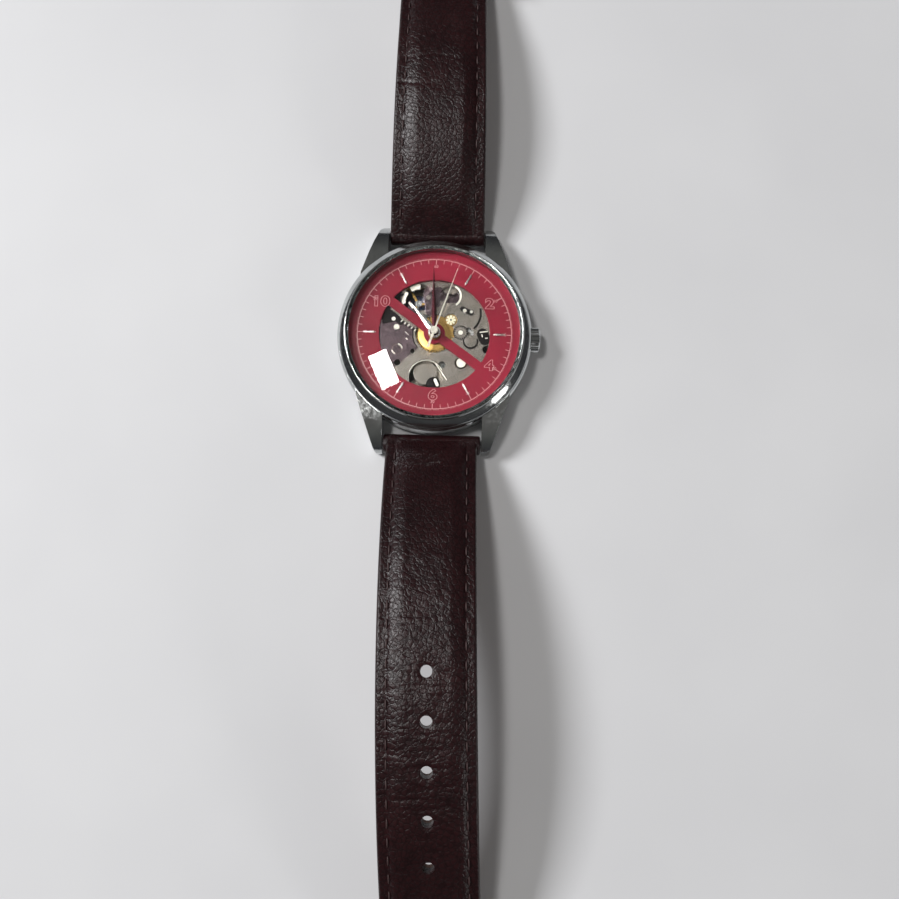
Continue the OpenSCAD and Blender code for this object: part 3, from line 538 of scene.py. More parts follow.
def faceted_hand(node, length, width, tail, boss_r, bore, turn, material):
    """Two-faceted lozenge hand with a ridge down its middle and a turned boss."""
    low, high = (corner.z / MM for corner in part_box(node))
    edge = low + BLADE_EDGE
    ridge = edge + width / 2 * math.tan(math.radians(FACET_TILT))
    wide_at = length * WIDEST_AT
    outline = [(-tail, 0), (wide_at, -width / 2), (length, 0), (wide_at, width / 2)]
    spine = [(-tail, 0), (wide_at, 0), (length, 0)]
    verts = [(x, y, z) for z in (low, edge) for x, y in outline]
    verts += [(x, y, ridge if i == 1 else low + 0.08) for i, (x, y) in enumerate(spine)]
    faces = [(3, 2, 1, 0)] + [(i, (i + 1) % 4, 4 + (i + 1) % 4, 4 + i) for i in range(4)]
    faces += [(4, 5, 9), (4, 9, 8), (5, 6, 10), (5, 10, 9)]
    faces += [(6, 7, 9), (6, 9, 10), (7, 4, 8), (7, 8, 9)]
    blade = [(x * MM, y * MM, z * MM) for x, y, z in verts], faces
    cap = high + 0.05
    boss = [(bore, low), (boss_r, low), (boss_r, high), (boss_r - 0.08, cap), (bore, cap)]
    verts, faces = join_meshes([blade, lathe(boss, 64)])
    turn_to = Matrix.Rotation(math.radians(90 + turn), 4, "Z")
    verts = [tuple(turn_to @ Vector(v)) for v in verts]
    name, slot = node + "_facets", slot_of(node)
    new_piece(name, verts, faces, material, body_of(node), node, slot=slot, smooth=False)


def hand_turn(node):
    """A hand's direction, anticlockwise from 12, and its length, read off the CAD shape."""
    far = max(NODES[node].data.vertices, key=lambda v: v.co.x ** 2 + v.co.y ** 2).co
    return math.degrees(math.atan2(far.y, far.x)) - 90, math.hypot(far.x, far.y) / MM


hour_turn, hour_len = hand_turn("hour_hand")
minute_turn, minute_len = hand_turn("minute_hand")
faceted_hand("hour_hand", hour_len, 1.15, 1.0, 1.1, 0.8, hour_turn, M["hand"])
# The minute hand's dark burgundy is a painted reflection.
faceted_hand("minute_hand", minute_len, 0.95, 0.9, 0.8, 0.5, minute_turn, M["reflection_dark_hand"])
refined("second_hand", M["seconds"], 0.03, 2)

# ---------------------------------------------------------------- movement

CAD_LOOKS = {
    "nickel": ("pallet_cock", "barrel_cover"),
    "brass": ("centre_wheel", "third_wheel", "fourth_wheel", "minute_wheel", "hour_wheel"),
    "steel": ("ratchet_wheel", "crown_wheel", "winding_stem", "barrel_arbor", "regulator"),
    "satin": ("setting_lever", "yoke", "click", "setting_wheel", "cannon_pinion", "balance_staff"),
    "dark_steel": (
        "mainspring", "click_spring", "sliding_pinion", "winding_pinion", "escape_wheel",
        "pallet_fork",
    ),
    "blued": ("bridge_screws", "hairspring"),
    "ruby": ("jewels", "pallet_stones"),
    "rubber": ("back_gasket",),
    "ring": ("movement_ring",),
    "glass": ("back_crystal",),
}
for look, members in CAD_LOOKS.items():
    for member in members:
        data = NODES[member].data
        data.materials.clear()
        data.materials.append(M[look])
refined("mainplate", M["nickel"], 0.05, 3)
for node in ("train_bridge", "barrel_bridge", "balance_cock"):
    refined(node, M["nickel"], 0.07, 3)
refined("keyless_cover", M["nickel"], 0.05, 2)
refined("balance_wheel", M["brass"], 0.09, 3)
refined("barrel_drum", M["nickel"], 0.02, 1)

PLATE_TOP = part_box("mainplate")[1].z / MM


def cut(piece, tools):
    """Cuts closed shapes out of a piece and keeps the result."""
    verts, faces = join_meshes(tools)
    mesh = bpy.data.meshes.new("cutter")
    mesh.from_pydata([tuple(v) for v in verts], [], faces)
    cutter = bpy.data.objects.new("cutter", mesh)
    bpy.context.scene.collection.objects.link(cutter)
    modifier = piece.modifiers.new("cut", "BOOLEAN")
    modifier.operation, modifier.solver, modifier.object = "DIFFERENCE", "EXACT", cutter
    result = final_mesh(piece)
    piece.modifiers.clear()
    piece.data = result
    bpy.data.objects.remove(cutter)


def sector(cx, cy, inner, outer, start, end, steps=40):
    """Outline of part of a flat ring."""
    return arc(cx, cy, outer, start, end, steps) + arc(cx, cy, inner, end, start, steps)


def disc(cx, cy, r, steps=48):
    """Outline of a full circle."""
    return arc(cx, cy, r, 0, 360 - 360 / steps, steps - 1)


def capsule(x0, y0, x1, y1, width):
    """Outline of a flat bar with round ends."""
    a, r = math.degrees(math.atan2(y1 - y0, x1 - x0)), width / 2
    return arc(x1, y1, r, a - 90, a + 90, 10) + arc(x0, y0, r, a + 90, a + 270, 10)


def plate_piece(name, outline, z0, z1, look, body="case", bevel=0.03):
    """A small flat part of the movement with softened edges."""
    verts, faces = prism(outline, z0, z1)
    slot = slot_of("mainplate")
    piece = new_piece(name, verts, faces, M[look], body, slot=slot, smooth=False)
    if bevel:
        round_edges(piece, bevel)
    return piece


def on_plate(name, outline, low, high, look, bevel=0.03):
    """A flat part on the mainplate, with its heights counted from the plate's top."""
    return plate_piece(name, outline, PLATE_TOP + low, PLATE_TOP + high, look, bevel=bevel)


def recess(name, outline, low=0.0, high=0.02):
    """A thin near-black patch of painted shade, laid where the mainplate shows a dark gap."""
    on_plate(name, outline, low, high, "recess", bevel=0)


def slotted_screw(name, cx, cy, r, z0, z1, look, angle):
    """A cheese-head screw with its slot and a rounded rim."""
    parts = []
    for side in (0, 180):
        half = turned(arc(0, 0, r, side + 12, side + 168, 20), angle)
        outline = [(x + cx, y + cy) for x, y in half]
        parts.append(prism(outline, z0 + (z1 - z0) * 0.45, z1))
    parts.append(prism(disc(cx, cy, r * 0.985), z0, z0 + (z1 - z0) * 0.5))
    verts, faces = join_meshes(parts)
    slot = slot_of("bridge_screws")
    piece = new_piece(name, verts, faces, M[look], "case", slot=slot, smooth=False)
    gap = 0.16 * r
    round_edges(piece, gap * 0.5)


def gear_outline(n, root, tip, cx=0.0, cy=0.0, duty=0.5):
    """Outline of a small gear with rounded teeth."""
    pitch = 360 / n
    flank = tip * 0.97
    tooth = ((-0.5, root), (-0.26, root), (-0.20, flank), (0, tip), (0.20, flank), (0.26, root))
    points = []
    for i in range(n):
        for part, r in tooth:
            a = math.radians((i + part * 2 * duty) * pitch)
            points.append((cx + r * math.cos(a), cy + r * math.sin(a)))
    return points


BALANCE = (-2.9, 6.1)
SECOND_OPENING = (2.6, 7.3)
LEVER = (6.6, -1.2)
SETTING_GEAR = (4.75, 0.4)
LEFT_SCREW = (-6.7, -2.9)
BARREL_OPENING = (-1.3, -8.1)
MINUTE_WHEEL = (2.925, 2.728)


def make_balance_opening():
    """A frosted collar in three lengths, and the bridge beyond it."""
    plate_piece("balance_collar_upper", sector(*BALANCE, 2.35, 3.28, 88, 126), 5.3, 5.55, "bright")
    plate_piece("balance_collar_left", sector(*BALANCE, 2.55, 3.28, 142, 188), 5.3, 5.55, "bright")
    plate_piece("balance_collar_lower", sector(*BALANCE, 2.9, 3.26, 186, 232), 5.3, 5.5, "bright")
    # The under-bridge and stud arm take the violet painted reflection.
    plate_piece("balance_under_bridge", capsule(-1.5, 8.4, -1.0, 4.6, 1.5), 4.4, 4.7, "reflection_violet")
    plate_piece("balance_post", disc(-1.3, 7.2, 0.42), 4.7, 4.95, "nickel")
    plate_piece("balance_stud_arm", capsule(-4.6, 5.3, -3.4, 4.4, 0.7), 4.5, 4.8, "reflection_violet")
    plate_piece("balance_stud_tip", capsule(-4.8, 6.0, -4.1, 5.2, 0.35), 4.8, 5.0, "bright")
    # Near-black patch of painted shade at the far left tip.
    recess("left_tip_painted_shade", [(-8.1, 5.7), (-6.3, 7.4), (-6.25, 6.0), (-5.6, 4.2)])
    centre = arc(0.6, 7.6, 1.3, 60, 120, 6) + [(-0.2, 6.4), (0.1, 5.0), (1.0, 5.2), (0.9, 6.8)]
    # Flat violet patch below 12: painted reflection.
    on_plate("centre_reflection_patch", centre, 0, 0.03, "reflection_violet", bevel=0)


def make_second_opening():
    """A shallow bright rim, with an inner plate, an arm and a floor below it."""
    on_plate("opening_rim", sector(*SECOND_OPENING, 1.87, 2.2, -55, 62), 0, 0.07, "bright")
    inner = sector(*SECOND_OPENING, 0.7, 1.8, 35, 140)
    plate_piece("opening_inner_plate", inner, 4.9, 5.1, "nickel")
    plate_piece("opening_inner_arm", capsule(1.4, 6.2, 2.3, 7.4, 0.5), 4.6, 4.9, "nickel")
    # The opening's floor takes the violet painted reflection.
    plate_piece("opening_floor", disc(*SECOND_OPENING, 1.8), 4.0, 4.2, "reflection_violet")


def make_setting_side():
    """Setting lever, clutch and setting gear on the crown's side, each over a near-black patch of
    painted shade for its gap.
    """
    # The near-black patches here, lever_shadow included, are painted shade where the gaps look
    # dark.
    recess("lever_shadow", sector(*LEVER, 0.9, 1.42, 165, 385))
    on_plate("lever_lobe", disc(6.6, -1.15, 1.12), 0, 0.12, "nickel")
    recess("curved_slot_shade", sector(4.4, 4.1, 3.75, 4.12, -46, 14))
    recess("clutch_painted_shade", capsule(8.75, 0.25, 9.15, -0.75, 2.1))
    on_plate("clutch_bar", capsule(8.3, 0.55, 9.6, 0.75, 0.22), 0.02, 0.1, "bright")
    on_plate("clutch_tooth_a", capsule(9.3, -0.55, 9.6, -0.5, 0.2), 0.02, 0.1, "bright")
    on_plate("clutch_tooth_b", capsule(8.6, 0.1, 8.7, -0.3, 0.16), 0.02, 0.1, "bright")
    gear = gear_outline(18, 1.0, 1.3, *SETTING_GEAR)
    on_plate("setting_gear", gear, 0, 0.08, "nickel", bevel=0.02)
    on_plate("setting_gear_hub", disc(*SETTING_GEAR, 0.42), 0.08, 0.12, "bright")
    recess("setting_gear_painted_shade", disc(*SETTING_GEAR, 1.36), -0.01)
    top = PLATE_TOP
    slotted_screw("setting_screw_a", 5.4, 4.55, 0.34, top, top + 0.16, "bright", 30)
    slotted_screw("setting_screw_b", 6.6, 4.35, 0.26, top, top + 0.16, "bright", 75)
    recess("setting_painted_shade", capsule(5.0, 4.9, 6.6, 4.1, 0.9), -0.01, 0.015)


def make_left_side():
    """Screws, a toothed rack and levers on a darker violet plate of painted reflection that is cut
    out round them, with painted shade in the gaps.
    """
    top = PLATE_TOP
    # The left screw takes the violet painted reflection.
    slotted_screw("left_screw", *LEFT_SCREW, 0.78, 5.4, 5.72, "reflection_violet", 20)
    on_plate("left_screw_rim_a", sector(*LEFT_SCREW, 0.84, 1.04, 10, 80), 0, 0.05, "bright")
    on_plate("left_screw_rim_b", sector(*LEFT_SCREW, 0.84, 1.06, 195, 250), 0, 0.05, "bright")
    slotted_screw("left_upper_screw", -6.9, 1.2, 0.5, 5.4, 5.9, "bright", 50)
    slotted_screw("left_top_screw", -7.5, 2.7, 0.36, top, top + 0.15, "bright", 110)
    # Near-black patch of painted shade at the upper left.
    shade = [(-9.6, 3.9), (-8.6, 4.8), (-6.4, 3.2), (-5.6, 1.9), (-6.2, 1.5), (-7.1, 2.2)]
    recess("left_top_painted_shade", shade + [(-9.5, 1.7)], -0.01, 0.035)
    for i in range(5):
        x, y = -5.9 + i * 0.62, 2.5 - i * 0.42
        tooth = capsule(x, y, x - 0.22, y - 0.3, 0.14)
        on_plate("rack_tooth_" + str(i), tooth, 0, 0.08, "bright")
        # Each tooth has a near-black patch of painted shade for the gap beside it.
        recess("rack_gap_shade_" + str(i), capsule(x + 0.3, y - 0.2, x, y - 0.62, 0.2), 0, 0.03)
    # A thin violet sheet laid over the left of the plate: painted reflection.
    plate = sector(0, 0, 4.0, 9.95, 163, 222)
    left = on_plate("left_plate", plate, -0.01, 0.025, "reflection_violet", bevel=0)
    openings = [(*LEFT_SCREW, 1.0), (-6.9, 1.2, 0.6), (-3.9, -3.2, 0.42), (-6.6, -5.4, 0.6)]
    openings.append((*BARREL_OPENING, 3.1))
    cut(left, [prism(disc(x, y, r), top - 1, top + 1) for x, y, r in openings])
    # Painted shade along the left plate's edge, and a painted shadow round the wheel.
    recess("left_plate_edge_shade", sector(0, 0, 3.86, 4.02, 163, 222), -0.01, 0.03)
    recess("wheel_shadow", sector(0, 0, 3.32, 3.5, 150, 330), -0.4, -0.35)
    on_plate("left_lever", capsule(-5.3, 0.3, -4.7, -0.25, 0.12), 0, 0.09, "bright")
    on_plate("left_lever_end", capsule(-5.1, -0.9, -4.9, -1.1, 0.18), 0, 0.09, "bright")
    # Painted shade along the far left edge.
    recess("left_edge_painted_shade", sector(0, 0, 9.3, 10.3, 128, 196), -0.01)


def make_lower_openings():
    """Caps and rims in the two openings below the dial's centre."""
    plate_piece("lower_cap", disc(4.95, -5.05, 0.86), 5.0, 5.3, "bright")
    rim = sector(*BARREL_OPENING, 3.12, 3.22, 28, 165)
    on_plate("barrel_opening_rim", rim, 0, 0.05, "bright")
    on_plate("barrel_band", capsule(0.3, -5.4, 2.4, -8.4, 0.16), 0, 0.07, "bright")
    plate_piece("barrel_cap", disc(-1.5, -7.0, 2.15), 4.7, 4.9, "nickel")
    # Near-black disc of painted shade inside the barrel opening.
    plate_piece("barrel_inner_painted_shade", disc(0.0, -9.0, 1.25), 4.9, 4.92, "recess", bevel=0)
    plate_piece("barrel_glint", capsule(0.35, -8.3, 0.75, -9.2, 0.55), 4.93, 5.05, "bright")


def make_motion_works():
    """Star-shaped pinion on the minute wheel, and the hour wheel's raised face."""
    body = "minute_wheel"
    star = gear_outline(8, 0.34, 0.92, *MINUTE_WHEEL, 0.8)
    plate_piece("minute_pinion_star", star, 5.8, 5.95, "pale_brass", body, 0.02)
    plate_piece("minute_pinion_cap", disc(*MINUTE_WHEEL, 0.2), 5.95, 6.0, "steel", body, 0.02)
    face = [(1.0, 5.6), (2.95, 5.6), (2.95, 5.66), (2.6, 5.74), (1.0, 5.74)]
    verts, faces = lathe(face, 96)
    slot = slot_of("hour_wheel")
    piece = new_piece("hour_wheel_face", verts, faces, M["brass"], "hour", slot=slot)
    sharp_by_angle(piece, 30)


make_balance_opening()
make_second_opening()
make_setting_side()
make_left_side()
make_lower_openings()
make_motion_works()

# ---------------------------------------------------------------- strap

BAR_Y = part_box("spring_bars")[1].y / MM - 0.9
BAR_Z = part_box("spring_bars")[0].z / MM + 0.9
LOOP_R = 1.75
LINING_T = 0.9
STEP = 1.5
TAPER_LEN = 38.0
NEAR_HALF, FAR_HALF = 8.8, 8.2
UPPER_LEN, LOWER_LEN = 72.0, 114.0
UPPER_SLOPE = ((0, 31.7), (45, -18.5), (60, -18.5), (UPPER_LEN, -3))
LOWER_SLOPE = ((0, 35.5), (78, -23.5), (92, -23.5), (LOWER_LEN, 0))
THICKNESS = ((0, 3.3), (25, 3.1), (60, 2.5), (120, 2.4))
FIRST_HOLE, HOLE_PITCH, HOLE_COUNT, HOLE_R = 42.5, 7.7, 7, 1.0


def lookup(table, s):
    return np.interp(s, [p[0] for p in table], [p[1] for p in table])


def sway(d):
    """Sideways lie of the long half, which curves gently as it rests on the table."""
    return 0.00036 * d * d


class StrapPath:
    """The curved middle surface of a strap half: a point and a slope for each length along it."""

    def __init__(self, slope, length, side):
        self.length, self.side = length, side
        self.s = np.linspace(-2, length, 4000)
        step = length / math.ceil(length / STEP)
        angle = np.radians(lookup(slope, self.s - step / 2))
        ds = self.s[1] - self.s[0]
        self.y = np.concatenate([[0], np.cumsum(np.cos(angle[:-1]) * ds)])
        self.z = np.concatenate([[0], np.cumsum(np.sin(angle[:-1]) * ds)])
        zero = np.searchsorted(self.s, 0)
        self.y -= self.y[zero]
        self.z += BAR_Z - self.z[zero]
        self.angle = angle

    def at(self, s):
        """Distance out, height and slope at a length along the strap."""
        return [np.interp(s, self.s, values) for values in (self.y, self.z, self.angle)]

    def place(self, s, x, offset):
        """World points, in metres, for lengths, sideways places and heights off the middle."""
        y, z, angle = self.at(s)
        out_y = BAR_Y + y - offset * np.sin(angle)
        out_z = z + offset * np.cos(angle)
        return np.stack([x + self.sideways(y), self.side * out_y, out_z], -1) * MM

    def sideways(self, y):
        return sway(np.clip(y, 0, None)) if self.side < 0 else np.zeros_like(y)

    def half_width(self, s, rounded):
        y = self.at(s)[0]
        half = np.interp(y, [0, TAPER_LEN], [NEAR_HALF, FAR_HALF])
        if rounded:
            bend = self.at(self.length)[0] - FAR_HALF
            inside = np.clip(FAR_HALF ** 2 - np.clip(y - bend, 0, FAR_HALF) ** 2, 0.01, None)
            half = np.minimum(half, np.sqrt(inside))
        return half


UPPER = StrapPath(UPPER_SLOPE, UPPER_LEN, 1)
LOWER = StrapPath(LOWER_SLOPE, LOWER_LEN, -1)


def smooth_step(t):
    t = np.clip(t, 0, 1)
    return t * t * (3 - 2 * t)


def wrinkles(s, x, rng, first, last, count):
    """Shallow creases that run across the strap where it has been bent."""
    depth = np.zeros_like(s)
    for _ in range(count):
        centre = rng.uniform(first, last)
        lean, wave, phase = rng.uniform(-0.12, 0.12), rng.uniform(0.15, 0.5), rng.uniform(0, 6.3)
        start, reach = rng.uniform(-8, 6), rng.uniform(3, 8)
        width, deep = rng.uniform(0.16, 0.34), rng.uniform(0.03, 0.10)
        line = centre + lean * x + wave * np.sin(x * 0.55 + phase)
        fade = np.exp(-((x - start) / reach) ** 2)
        depth -= deep * fade * np.exp(-((s - line) / width) ** 2)
    return depth


def leather_relief(points, amount):
    """Lumps and pebbles of the leather, as heights in millimetres."""
    out = np.empty(len(points))
    for i, p in enumerate(points):
        v = Vector(p) / MM
        lump = noise.noise(v * 0.33) * 0.10 + noise.noise(v * 0.9 + Vector((7, 0, 3))) * 0.05
        cell = noise.voronoi(v * 1.05)[0]
        pebble = (cell[1] - cell[0]) * 0.075
        out[i] = (lump + min(pebble, 0.05)) * amount
    return out


def strap_sheet(path, start, rounded, seed, holes):
    """Vertices and faces of the padded leather layer."""
    rng = random.Random(seed)
    rows = int((path.length - start) / 0.24)
    across, under = 84, 16
    lengths = start + (path.length - start) * np.linspace(0, 1, rows)
    if rounded:
        lengths[-1] = path.length - 0.02
    edge = np.sin(np.linspace(-math.pi / 2, math.pi / 2, across))
    u = 0.35 * edge + 0.65 * np.linspace(-1, 1, across)
    s = np.repeat(lengths[:, None], across, 1)
    half = path.half_width(lengths, rounded)[:, None]
    x = half * u[None, :]
    thick = lookup(THICKNESS, s)
    inset = half - np.abs(x)
    if rounded:
        y = path.at(s)[0]
        bend = path.at(path.length)[0] - FAR_HALF
        radial = FAR_HALF - np.hypot(x, np.clip(y - bend, 0, None))
        inset = np.where(y > bend, np.clip(radial, 0, None), inset)
    swell = smooth_step(s / 7) * np.interp(s, [0, 30, 70], [0.55, 0.45, 0.22])
    crown = swell * smooth_step((inset - 1.9) / 2.6)
    flange = -0.42 * (1 - smooth_step((inset - 0.9) / 2.0)) * smooth_step(s / 5)
    rounding = 0.5
    lip = np.clip(rounding - inset, 0, rounding)
    roll = -(rounding - np.sqrt(np.clip(rounding ** 2 - lip ** 2, 0, None)))
    groove = -0.13 * np.exp(-((inset - 1.75) / 0.33) ** 2)
    top = thick / 2 + crown + flange + roll + groove
    if holes:
        top += wrinkles(s, x, rng, FIRST_HOLE - 10, FIRST_HOLE + 22, 34)
        for k in range(HOLE_COUNT):
            away = np.hypot(s - FIRST_HOLE - k * HOLE_PITCH, x)
            dip = 0.10 * np.exp(-((away - HOLE_R) / 0.28) ** 2)
            top -= dip - 0.03 * np.exp(-((away - 1.9) / 0.6) ** 2)
        top += wrinkles(s, x, rng, 2, 9, 5)
    else:
        top += wrinkles(s, x, rng, 20, 50, 9)
    flat = path.place(s.ravel(), x.ravel(), top.ravel())
    fade = smooth_step((inset.ravel() - 0.2) / 1.2) * 0.8 + 0.2
    fade *= 0.25 + 0.75 * smooth_step((s.ravel() - 13) / 14)
    top = top + (leather_relief(flat, 1.0) * fade).reshape(top.shape)
    upper_rows = path.place(s.ravel(), x.ravel(), top.ravel()).reshape(rows, across, 3)
    low_u = np.linspace(1, -1, under)
    low_x = half * low_u[None, :] * 0.999
    low_s = np.repeat(lengths[:, None], under, 1)
    low_offset = -lookup(THICKNESS, low_s) / 2 + LINING_T
    lower_rows = path.place(low_s.ravel(), low_x.ravel(), low_offset.ravel())
    lower_rows = lower_rows.reshape(rows, under, 3)
    loop = across + under
    grid = np.concatenate([upper_rows, lower_rows], 1).reshape(-1, 3)
    return grid, loop_faces(rows, loop)


def loop_faces(rows, loop):
    """Faces of closed loops one after another, with both ends shut."""
    faces = []
    for i in range(rows - 1):
        for k in range(loop):
            n = (k + 1) % loop
            faces.append((i * loop + k, i * loop + n, (i + 1) * loop + n, (i + 1) * loop + k))
    faces.append(tuple(range(loop - 1, -1, -1)))
    faces.append(tuple((rows - 1) * loop + k for k in range(loop)))
    return faces


def lining_sheet(path, start, end, rounded):
    """Vertices and faces of the thin lining under the leather."""
    rows, across = int((end - start) / 0.8), 24
    lengths = np.linspace(start, end, rows)
    if rounded:
        lengths[-1] -= 0.05
    half = path.half_width(lengths, rounded)[:, None] - 0.03
    u = np.linspace(-1, 1, across)
    s = np.repeat(lengths[:, None], across, 1)
    bottom = -lookup(THICKNESS, s) / 2
    x = half * u[None, :]
    lift = 0.35 * (1 - smooth_step((half - np.abs(x)) / 0.6))
    low = path.place(s.ravel(), x.ravel(), (bottom + lift).ravel())
    high = path.place(s.ravel(), x[:, ::-1].ravel(), (bottom + LINING_T).ravel())
    halves = [side.reshape(rows, across, 3) for side in (low, high)]
    grid = np.concatenate(halves, 1).reshape(-1, 3)
    return grid, loop_faces(rows, 2 * across)


def end_loop(path, s, outer, inner, half):
    """Turned-over end of the leather: a tube round a bar, with rounded ends."""
    y, z, _ = path.at(s)
    r = 0.35
    profile = [(inner, -half), (outer - r, -half), (outer - 0.1, -half + 0.1), (outer, -half + r)]
    profile += [(outer, -half + half * 2 * k / 24) for k in range(1, 24)]
    profile += [(outer, half - r), (outer - 0.1, half - 0.1), (outer - r, half), (inner, half)]
    verts, faces = lathe(profile, 48)
    along_bar = Matrix.Rotation(math.pi / 2, 4, "Y")
    place = Matrix.Translation((0, path.side * (BAR_Y + y) * MM, z * MM)) @ along_bar
    return [tuple(place @ Vector(v)) for v in verts], faces


def hole_tools(path):
    """A cylinder through the strap at each hole."""
    tools = []
    for k in range(HOLE_COUNT):
        s = FIRST_HOLE + k * HOLE_PITCH
        y, z, angle = (float(v) for v in path.at(s))
        verts, faces = prism(arc(0, 0, HOLE_R, 0, 350, 35), -4, 4)
        lean = Matrix.Rotation(path.side * angle, 4, "X")
        place = Matrix.Translation((sway(y) * MM, path.side * (BAR_Y + y) * MM, z * MM)) @ lean
        tools.append(([place @ Vector(v) for v in verts], faces))
    return tools


def slot_tool(path):
    """The gap in the strap's end for the buckle's tongue."""
    y, z, _ = path.at(path.length)
    y0, y1 = BAR_Y + y - 4.4, BAR_Y + y + 4
    outline = [(-1.5, y0 + 0.6), (-0.9, y0), (0.9, y0), (1.5, y0 + 0.6), (1.5, y1), (-1.5, y1)]
    return [prism(outline, z - 6, z + 8)]


def stitches(path, start, end, rounded):
    """Rows of short thread runs sunk in the groove near each edge."""
    pitch, run, radius, inset, rings, ring = 3.1, 1.6, 0.15, 1.75, 6, 8
    parts = []
    count = int((end - start) / pitch)
    for side in (-1, 1):
        for i in range(count):
            s0 = start + i * pitch
            line = np.linspace(s0, s0 + run, rings)
            x = side * (path.half_width(line, rounded) - inset)
            arch = np.sin(math.pi * np.linspace(0, 1, rings))
            sunk = 0.30 * smooth_step(line / 5)
            height = lookup(THICKNESS, line) / 2 - sunk + 0.03 + 0.10 * arch
            girth = radius * (0.55 + 0.45 * arch)
            verts = []
            for s, middle, lift, r in zip(line, x, height, girth):
                for k in range(ring):
                    a = 2 * math.pi * k / ring
                    point = path.place(s, middle + r * math.cos(a), lift + r * math.sin(a))
                    verts.append(tuple(point))
            parts.append((verts, loop_faces(rings, ring)))
    return join_meshes(parts)


def make_strap_half(name, path, rounded, seed):
    """Leather, lining, end loops and stitching of one half, which rides on its own body."""
    leather_look = {"slot": "leather"}
    holes = path is LOWER
    verts, faces = strap_sheet(path, 0.2, rounded, seed, holes)
    top = new_piece(name + "_leather", verts, faces, M["leather"], name, name, **leather_look)
    verts, faces = lining_sheet(path, 3, path.length if rounded else path.length - 2, rounded)
    below = new_piece(
        name + "_lining_leather", verts, faces, M["lining"], name, name + "_lining",
        slot="lining_leather",
    )
    loop = end_loop(path, 0, LOOP_R, 0.95, NEAR_HALF)
    near = new_piece(name + "_bar_loop", *loop, M["leather"], name, **leather_look)
    last = path.length - 12 if rounded else path.length - 9
    thread = stitches(path, 3.5, last, rounded)
    new_piece(name + "_stitching", *thread, M["thread"], name, **leather_look)
    if holes:
        tools = hole_tools(path)
        cut(top, tools)
        cut(below, tools)
    else:
        loop = end_loop(path, path.length, 1.3, 0.75, FAR_HALF)
        far = new_piece(name + "_buckle_loop", *loop, M["leather"], name, **leather_look)
        for piece in (top, below, far):
            cut(piece, slot_tool(path))
        sharp_by_angle(far, 50)
    for piece in (top, below, near):
        sharp_by_angle(piece, 50)


make_strap_half("strap_upper", UPPER, False, 4)
make_strap_half("strap_lower", LOWER, True, 9)


KEEPER_WALL, KEEPER_CORNER, KEEPER_ROOM = 0.9, 0.8, 2.6


def make_keeper(node, s, length, under):
    """Leather loop with rounded corners and softly crowned sides."""
    y, z, angle = (float(v) for v in UPPER.at(s))
    half_t = float(lookup(THICKNESS, s)) / 2
    inside = FAR_HALF + 0.25
    low, high = -half_t + under, half_t + KEEPER_ROOM
    corner = KEEPER_CORNER
    middle = (low + high) / 2
    tall = (high - low) / 2
    route = []
    for cx, cy, a in ((1, 1, 0), (-1, 1, 90), (-1, -1, 180), (1, -1, 270)):
        bend_x, bend_y = cx * (inside - corner), middle + cy * (tall - corner)
        route += arc(bend_x, bend_y, corner, a, a + 90, 6)
    rows = 14
    verts = []
    loop = 2 * rows
    for i, (px, pz) in enumerate(route):
        before, after = route[i - 1], route[(i + 1) % len(route)]
        tangent = Vector((after[0] - before[0], after[1] - before[1])).normalized()
        normal = Vector((tangent.y, -tangent.x))
        for k in range(rows):
            t = -1 + 2 * k / (rows - 1)
            rise = KEEPER_WALL * (0.80 + 0.20 * math.sqrt(max(0.0, 1 - abs(t) ** 4)))
            verts.append((px + normal.x * rise, t * length / 2, pz + normal.y * rise))
        for k in range(rows):
            t = 1 - 2 * k / (rows - 1)
            verts.append((px, t * length / 2, pz))
    count = len(route)
    faces = []
    for i in range(count):
        j = (i + 1) % count
        for k in range(loop):
            n = (k + 1) % loop
            faces.append((i * loop + k, j * loop + k, j * loop + n, i * loop + n))
    place = Matrix.Translation((0, (BAR_Y + y) * MM, z * MM)) @ Matrix.Rotation(angle, 4, "X")
    placed = [tuple(place @ (Vector(v) * MM)) for v in verts]
    name, body = node + "_leather", body_of(node)
    piece = new_piece(name, placed, faces, M["leather"], body, node, slot="leather")
    sharp_by_angle(piece, 60)


make_keeper("fixed_keeper", 65, 4.0, 0.12)
make_keeper("free_keeper", 57.5, 4.5, -0.2)

# ---------------------------------------------------------------- table, light and camera


TABLE_HALF = 3.0


def make_floor():
    """A pale table that the watch lies on."""
    mesh = bpy.data.meshes.new("table")
    corners = [(x * TABLE_HALF, y * TABLE_HALF, 0) for x, y in ((-1, -1), (1, -1), (1, 1), (-1, 1))]
    mesh.from_pydata(corners, [], [(0, 1, 2, 3)])
    floor = bpy.data.objects.new("table", mesh)
    bpy.context.scene.collection.objects.link(floor)
    mesh.materials.append(tabletop())


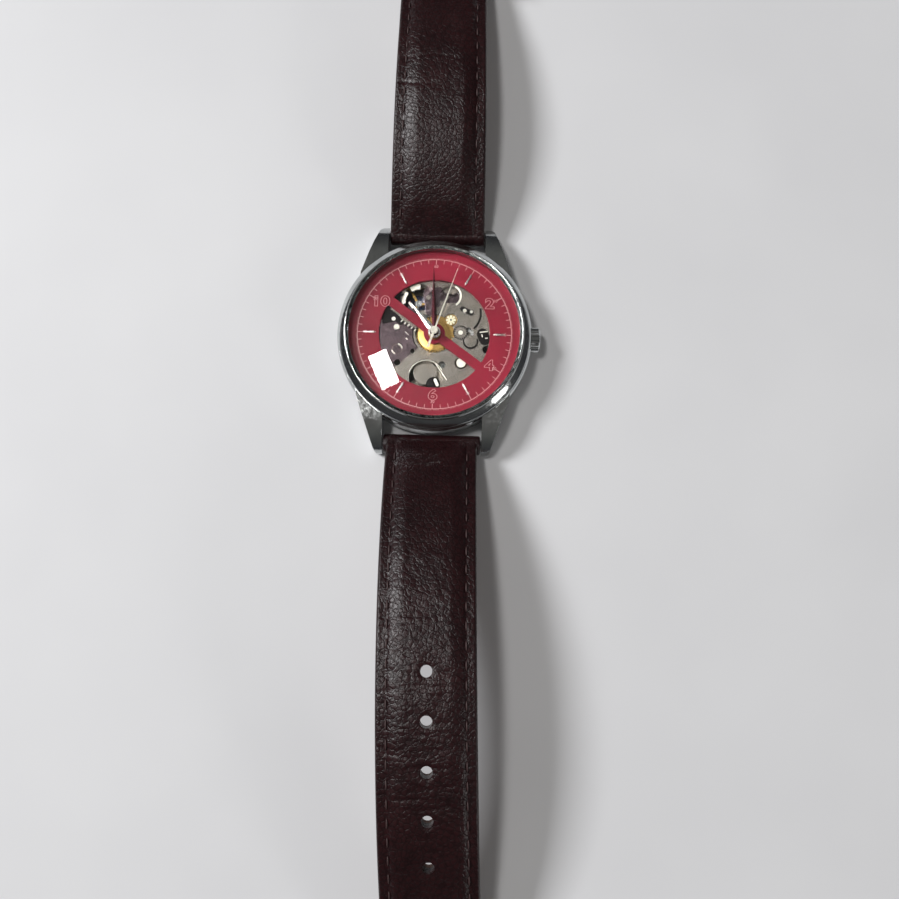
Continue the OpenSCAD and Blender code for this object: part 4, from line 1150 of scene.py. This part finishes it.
def area_light(name, direction, distance, size, power, spin, color):
    """A rectangular lamp that looks at the watch, turned about its own axis by spin degrees."""
    data = bpy.data.lights.new(name, "AREA")
    data.shape = "RECTANGLE"
    data.size, data.size_y = size
    data.energy = power
    data.color = color
    lamp = bpy.data.objects.new(name, data)
    bpy.context.scene.collection.objects.link(lamp)
    toward = Vector(direction).normalized()
    lamp.location = toward * distance
    lamp.rotation_mode = "QUATERNION"
    turn = Quaternion((0, 0, 1), math.radians(spin))
    lamp.rotation_quaternion = toward.to_track_quat("Z", "Y") @ turn
    # A ray that has passed through the glass meets the lamp by its shadow ray alone
    lamp.visible_transmission = False


def make_world():
    """A pale ceiling over darker walls, as a polished case sees a room."""
    world = bpy.data.worlds.new("room")
    bpy.context.scene.world = world
    world.use_nodes = True
    tree = world.node_tree
    back = tree.nodes["Background"]
    coords = new_node(tree, "ShaderNodeTexCoord").outputs["Generated"]
    height = new_node(tree, "ShaderNodeSeparateXYZ", Vector=coords).outputs["Z"]
    floor, wall = (0.035, 0.035, 0.04), (0.06, 0.06, 0.06)
    high_wall, ceiling = (0.11, 0.11, 0.105), (0.13, 0.125, 0.12)
    stops = [(0.0, floor), (0.45, wall), (0.8, high_wall), (0.98, ceiling)]
    tree.links.new(ramp(tree, height, stops), back.inputs["Color"])
    back.inputs["Strength"].default_value = 1.0
    world.cycles.sampling_method = "NONE"


def make_camera():
    """A view nearly straight down, a little from the 6 o'clock side."""
    data = bpy.data.cameras.new("camera")
    data.sensor_width = 36
    data.lens = 38.96
    data.clip_start, data.clip_end = 0.01, 10
    camera = bpy.data.objects.new("camera", data)
    bpy.context.scene.collection.objects.link(camera)
    tilt, yaw = math.radians(9.3), math.radians(1.5)
    place = Vector((2.75, -49.4, 177.7)) * MM
    roll = Matrix.Rotation(yaw, 4, "Z")
    camera.matrix_world = roll @ Matrix.Translation(place) @ Matrix.Rotation(tilt, 4, "X")
    bpy.context.scene.camera = camera


make_floor()
make_world()
LAMPS = (
    ("window", (-0.273, 0.062, 0.96), 1.1, (0.11, 0.21), 3.6, -53, (1, 0.99, 0.97)),
    ("side_window", (-0.68, 0.22, 0.70), 1.3, (0.34, 0.34), 15.5, 0, (0.98, 0.99, 1.0)),
    ("right_fill", (0.75, -0.25, 0.60), 1.5, (0.6, 0.6), 0.6, 0, (1, 0.99, 0.98)),
    ("low_right", (0.79, -0.49, 0.373), 1.3, (0.28, 0.26), 2.6, 0, (1, 0.99, 0.97)),
)
for lamp_settings in LAMPS:
    area_light(*lamp_settings)
make_camera()
bpy.context.scene.view_settings.view_transform = "Standard"
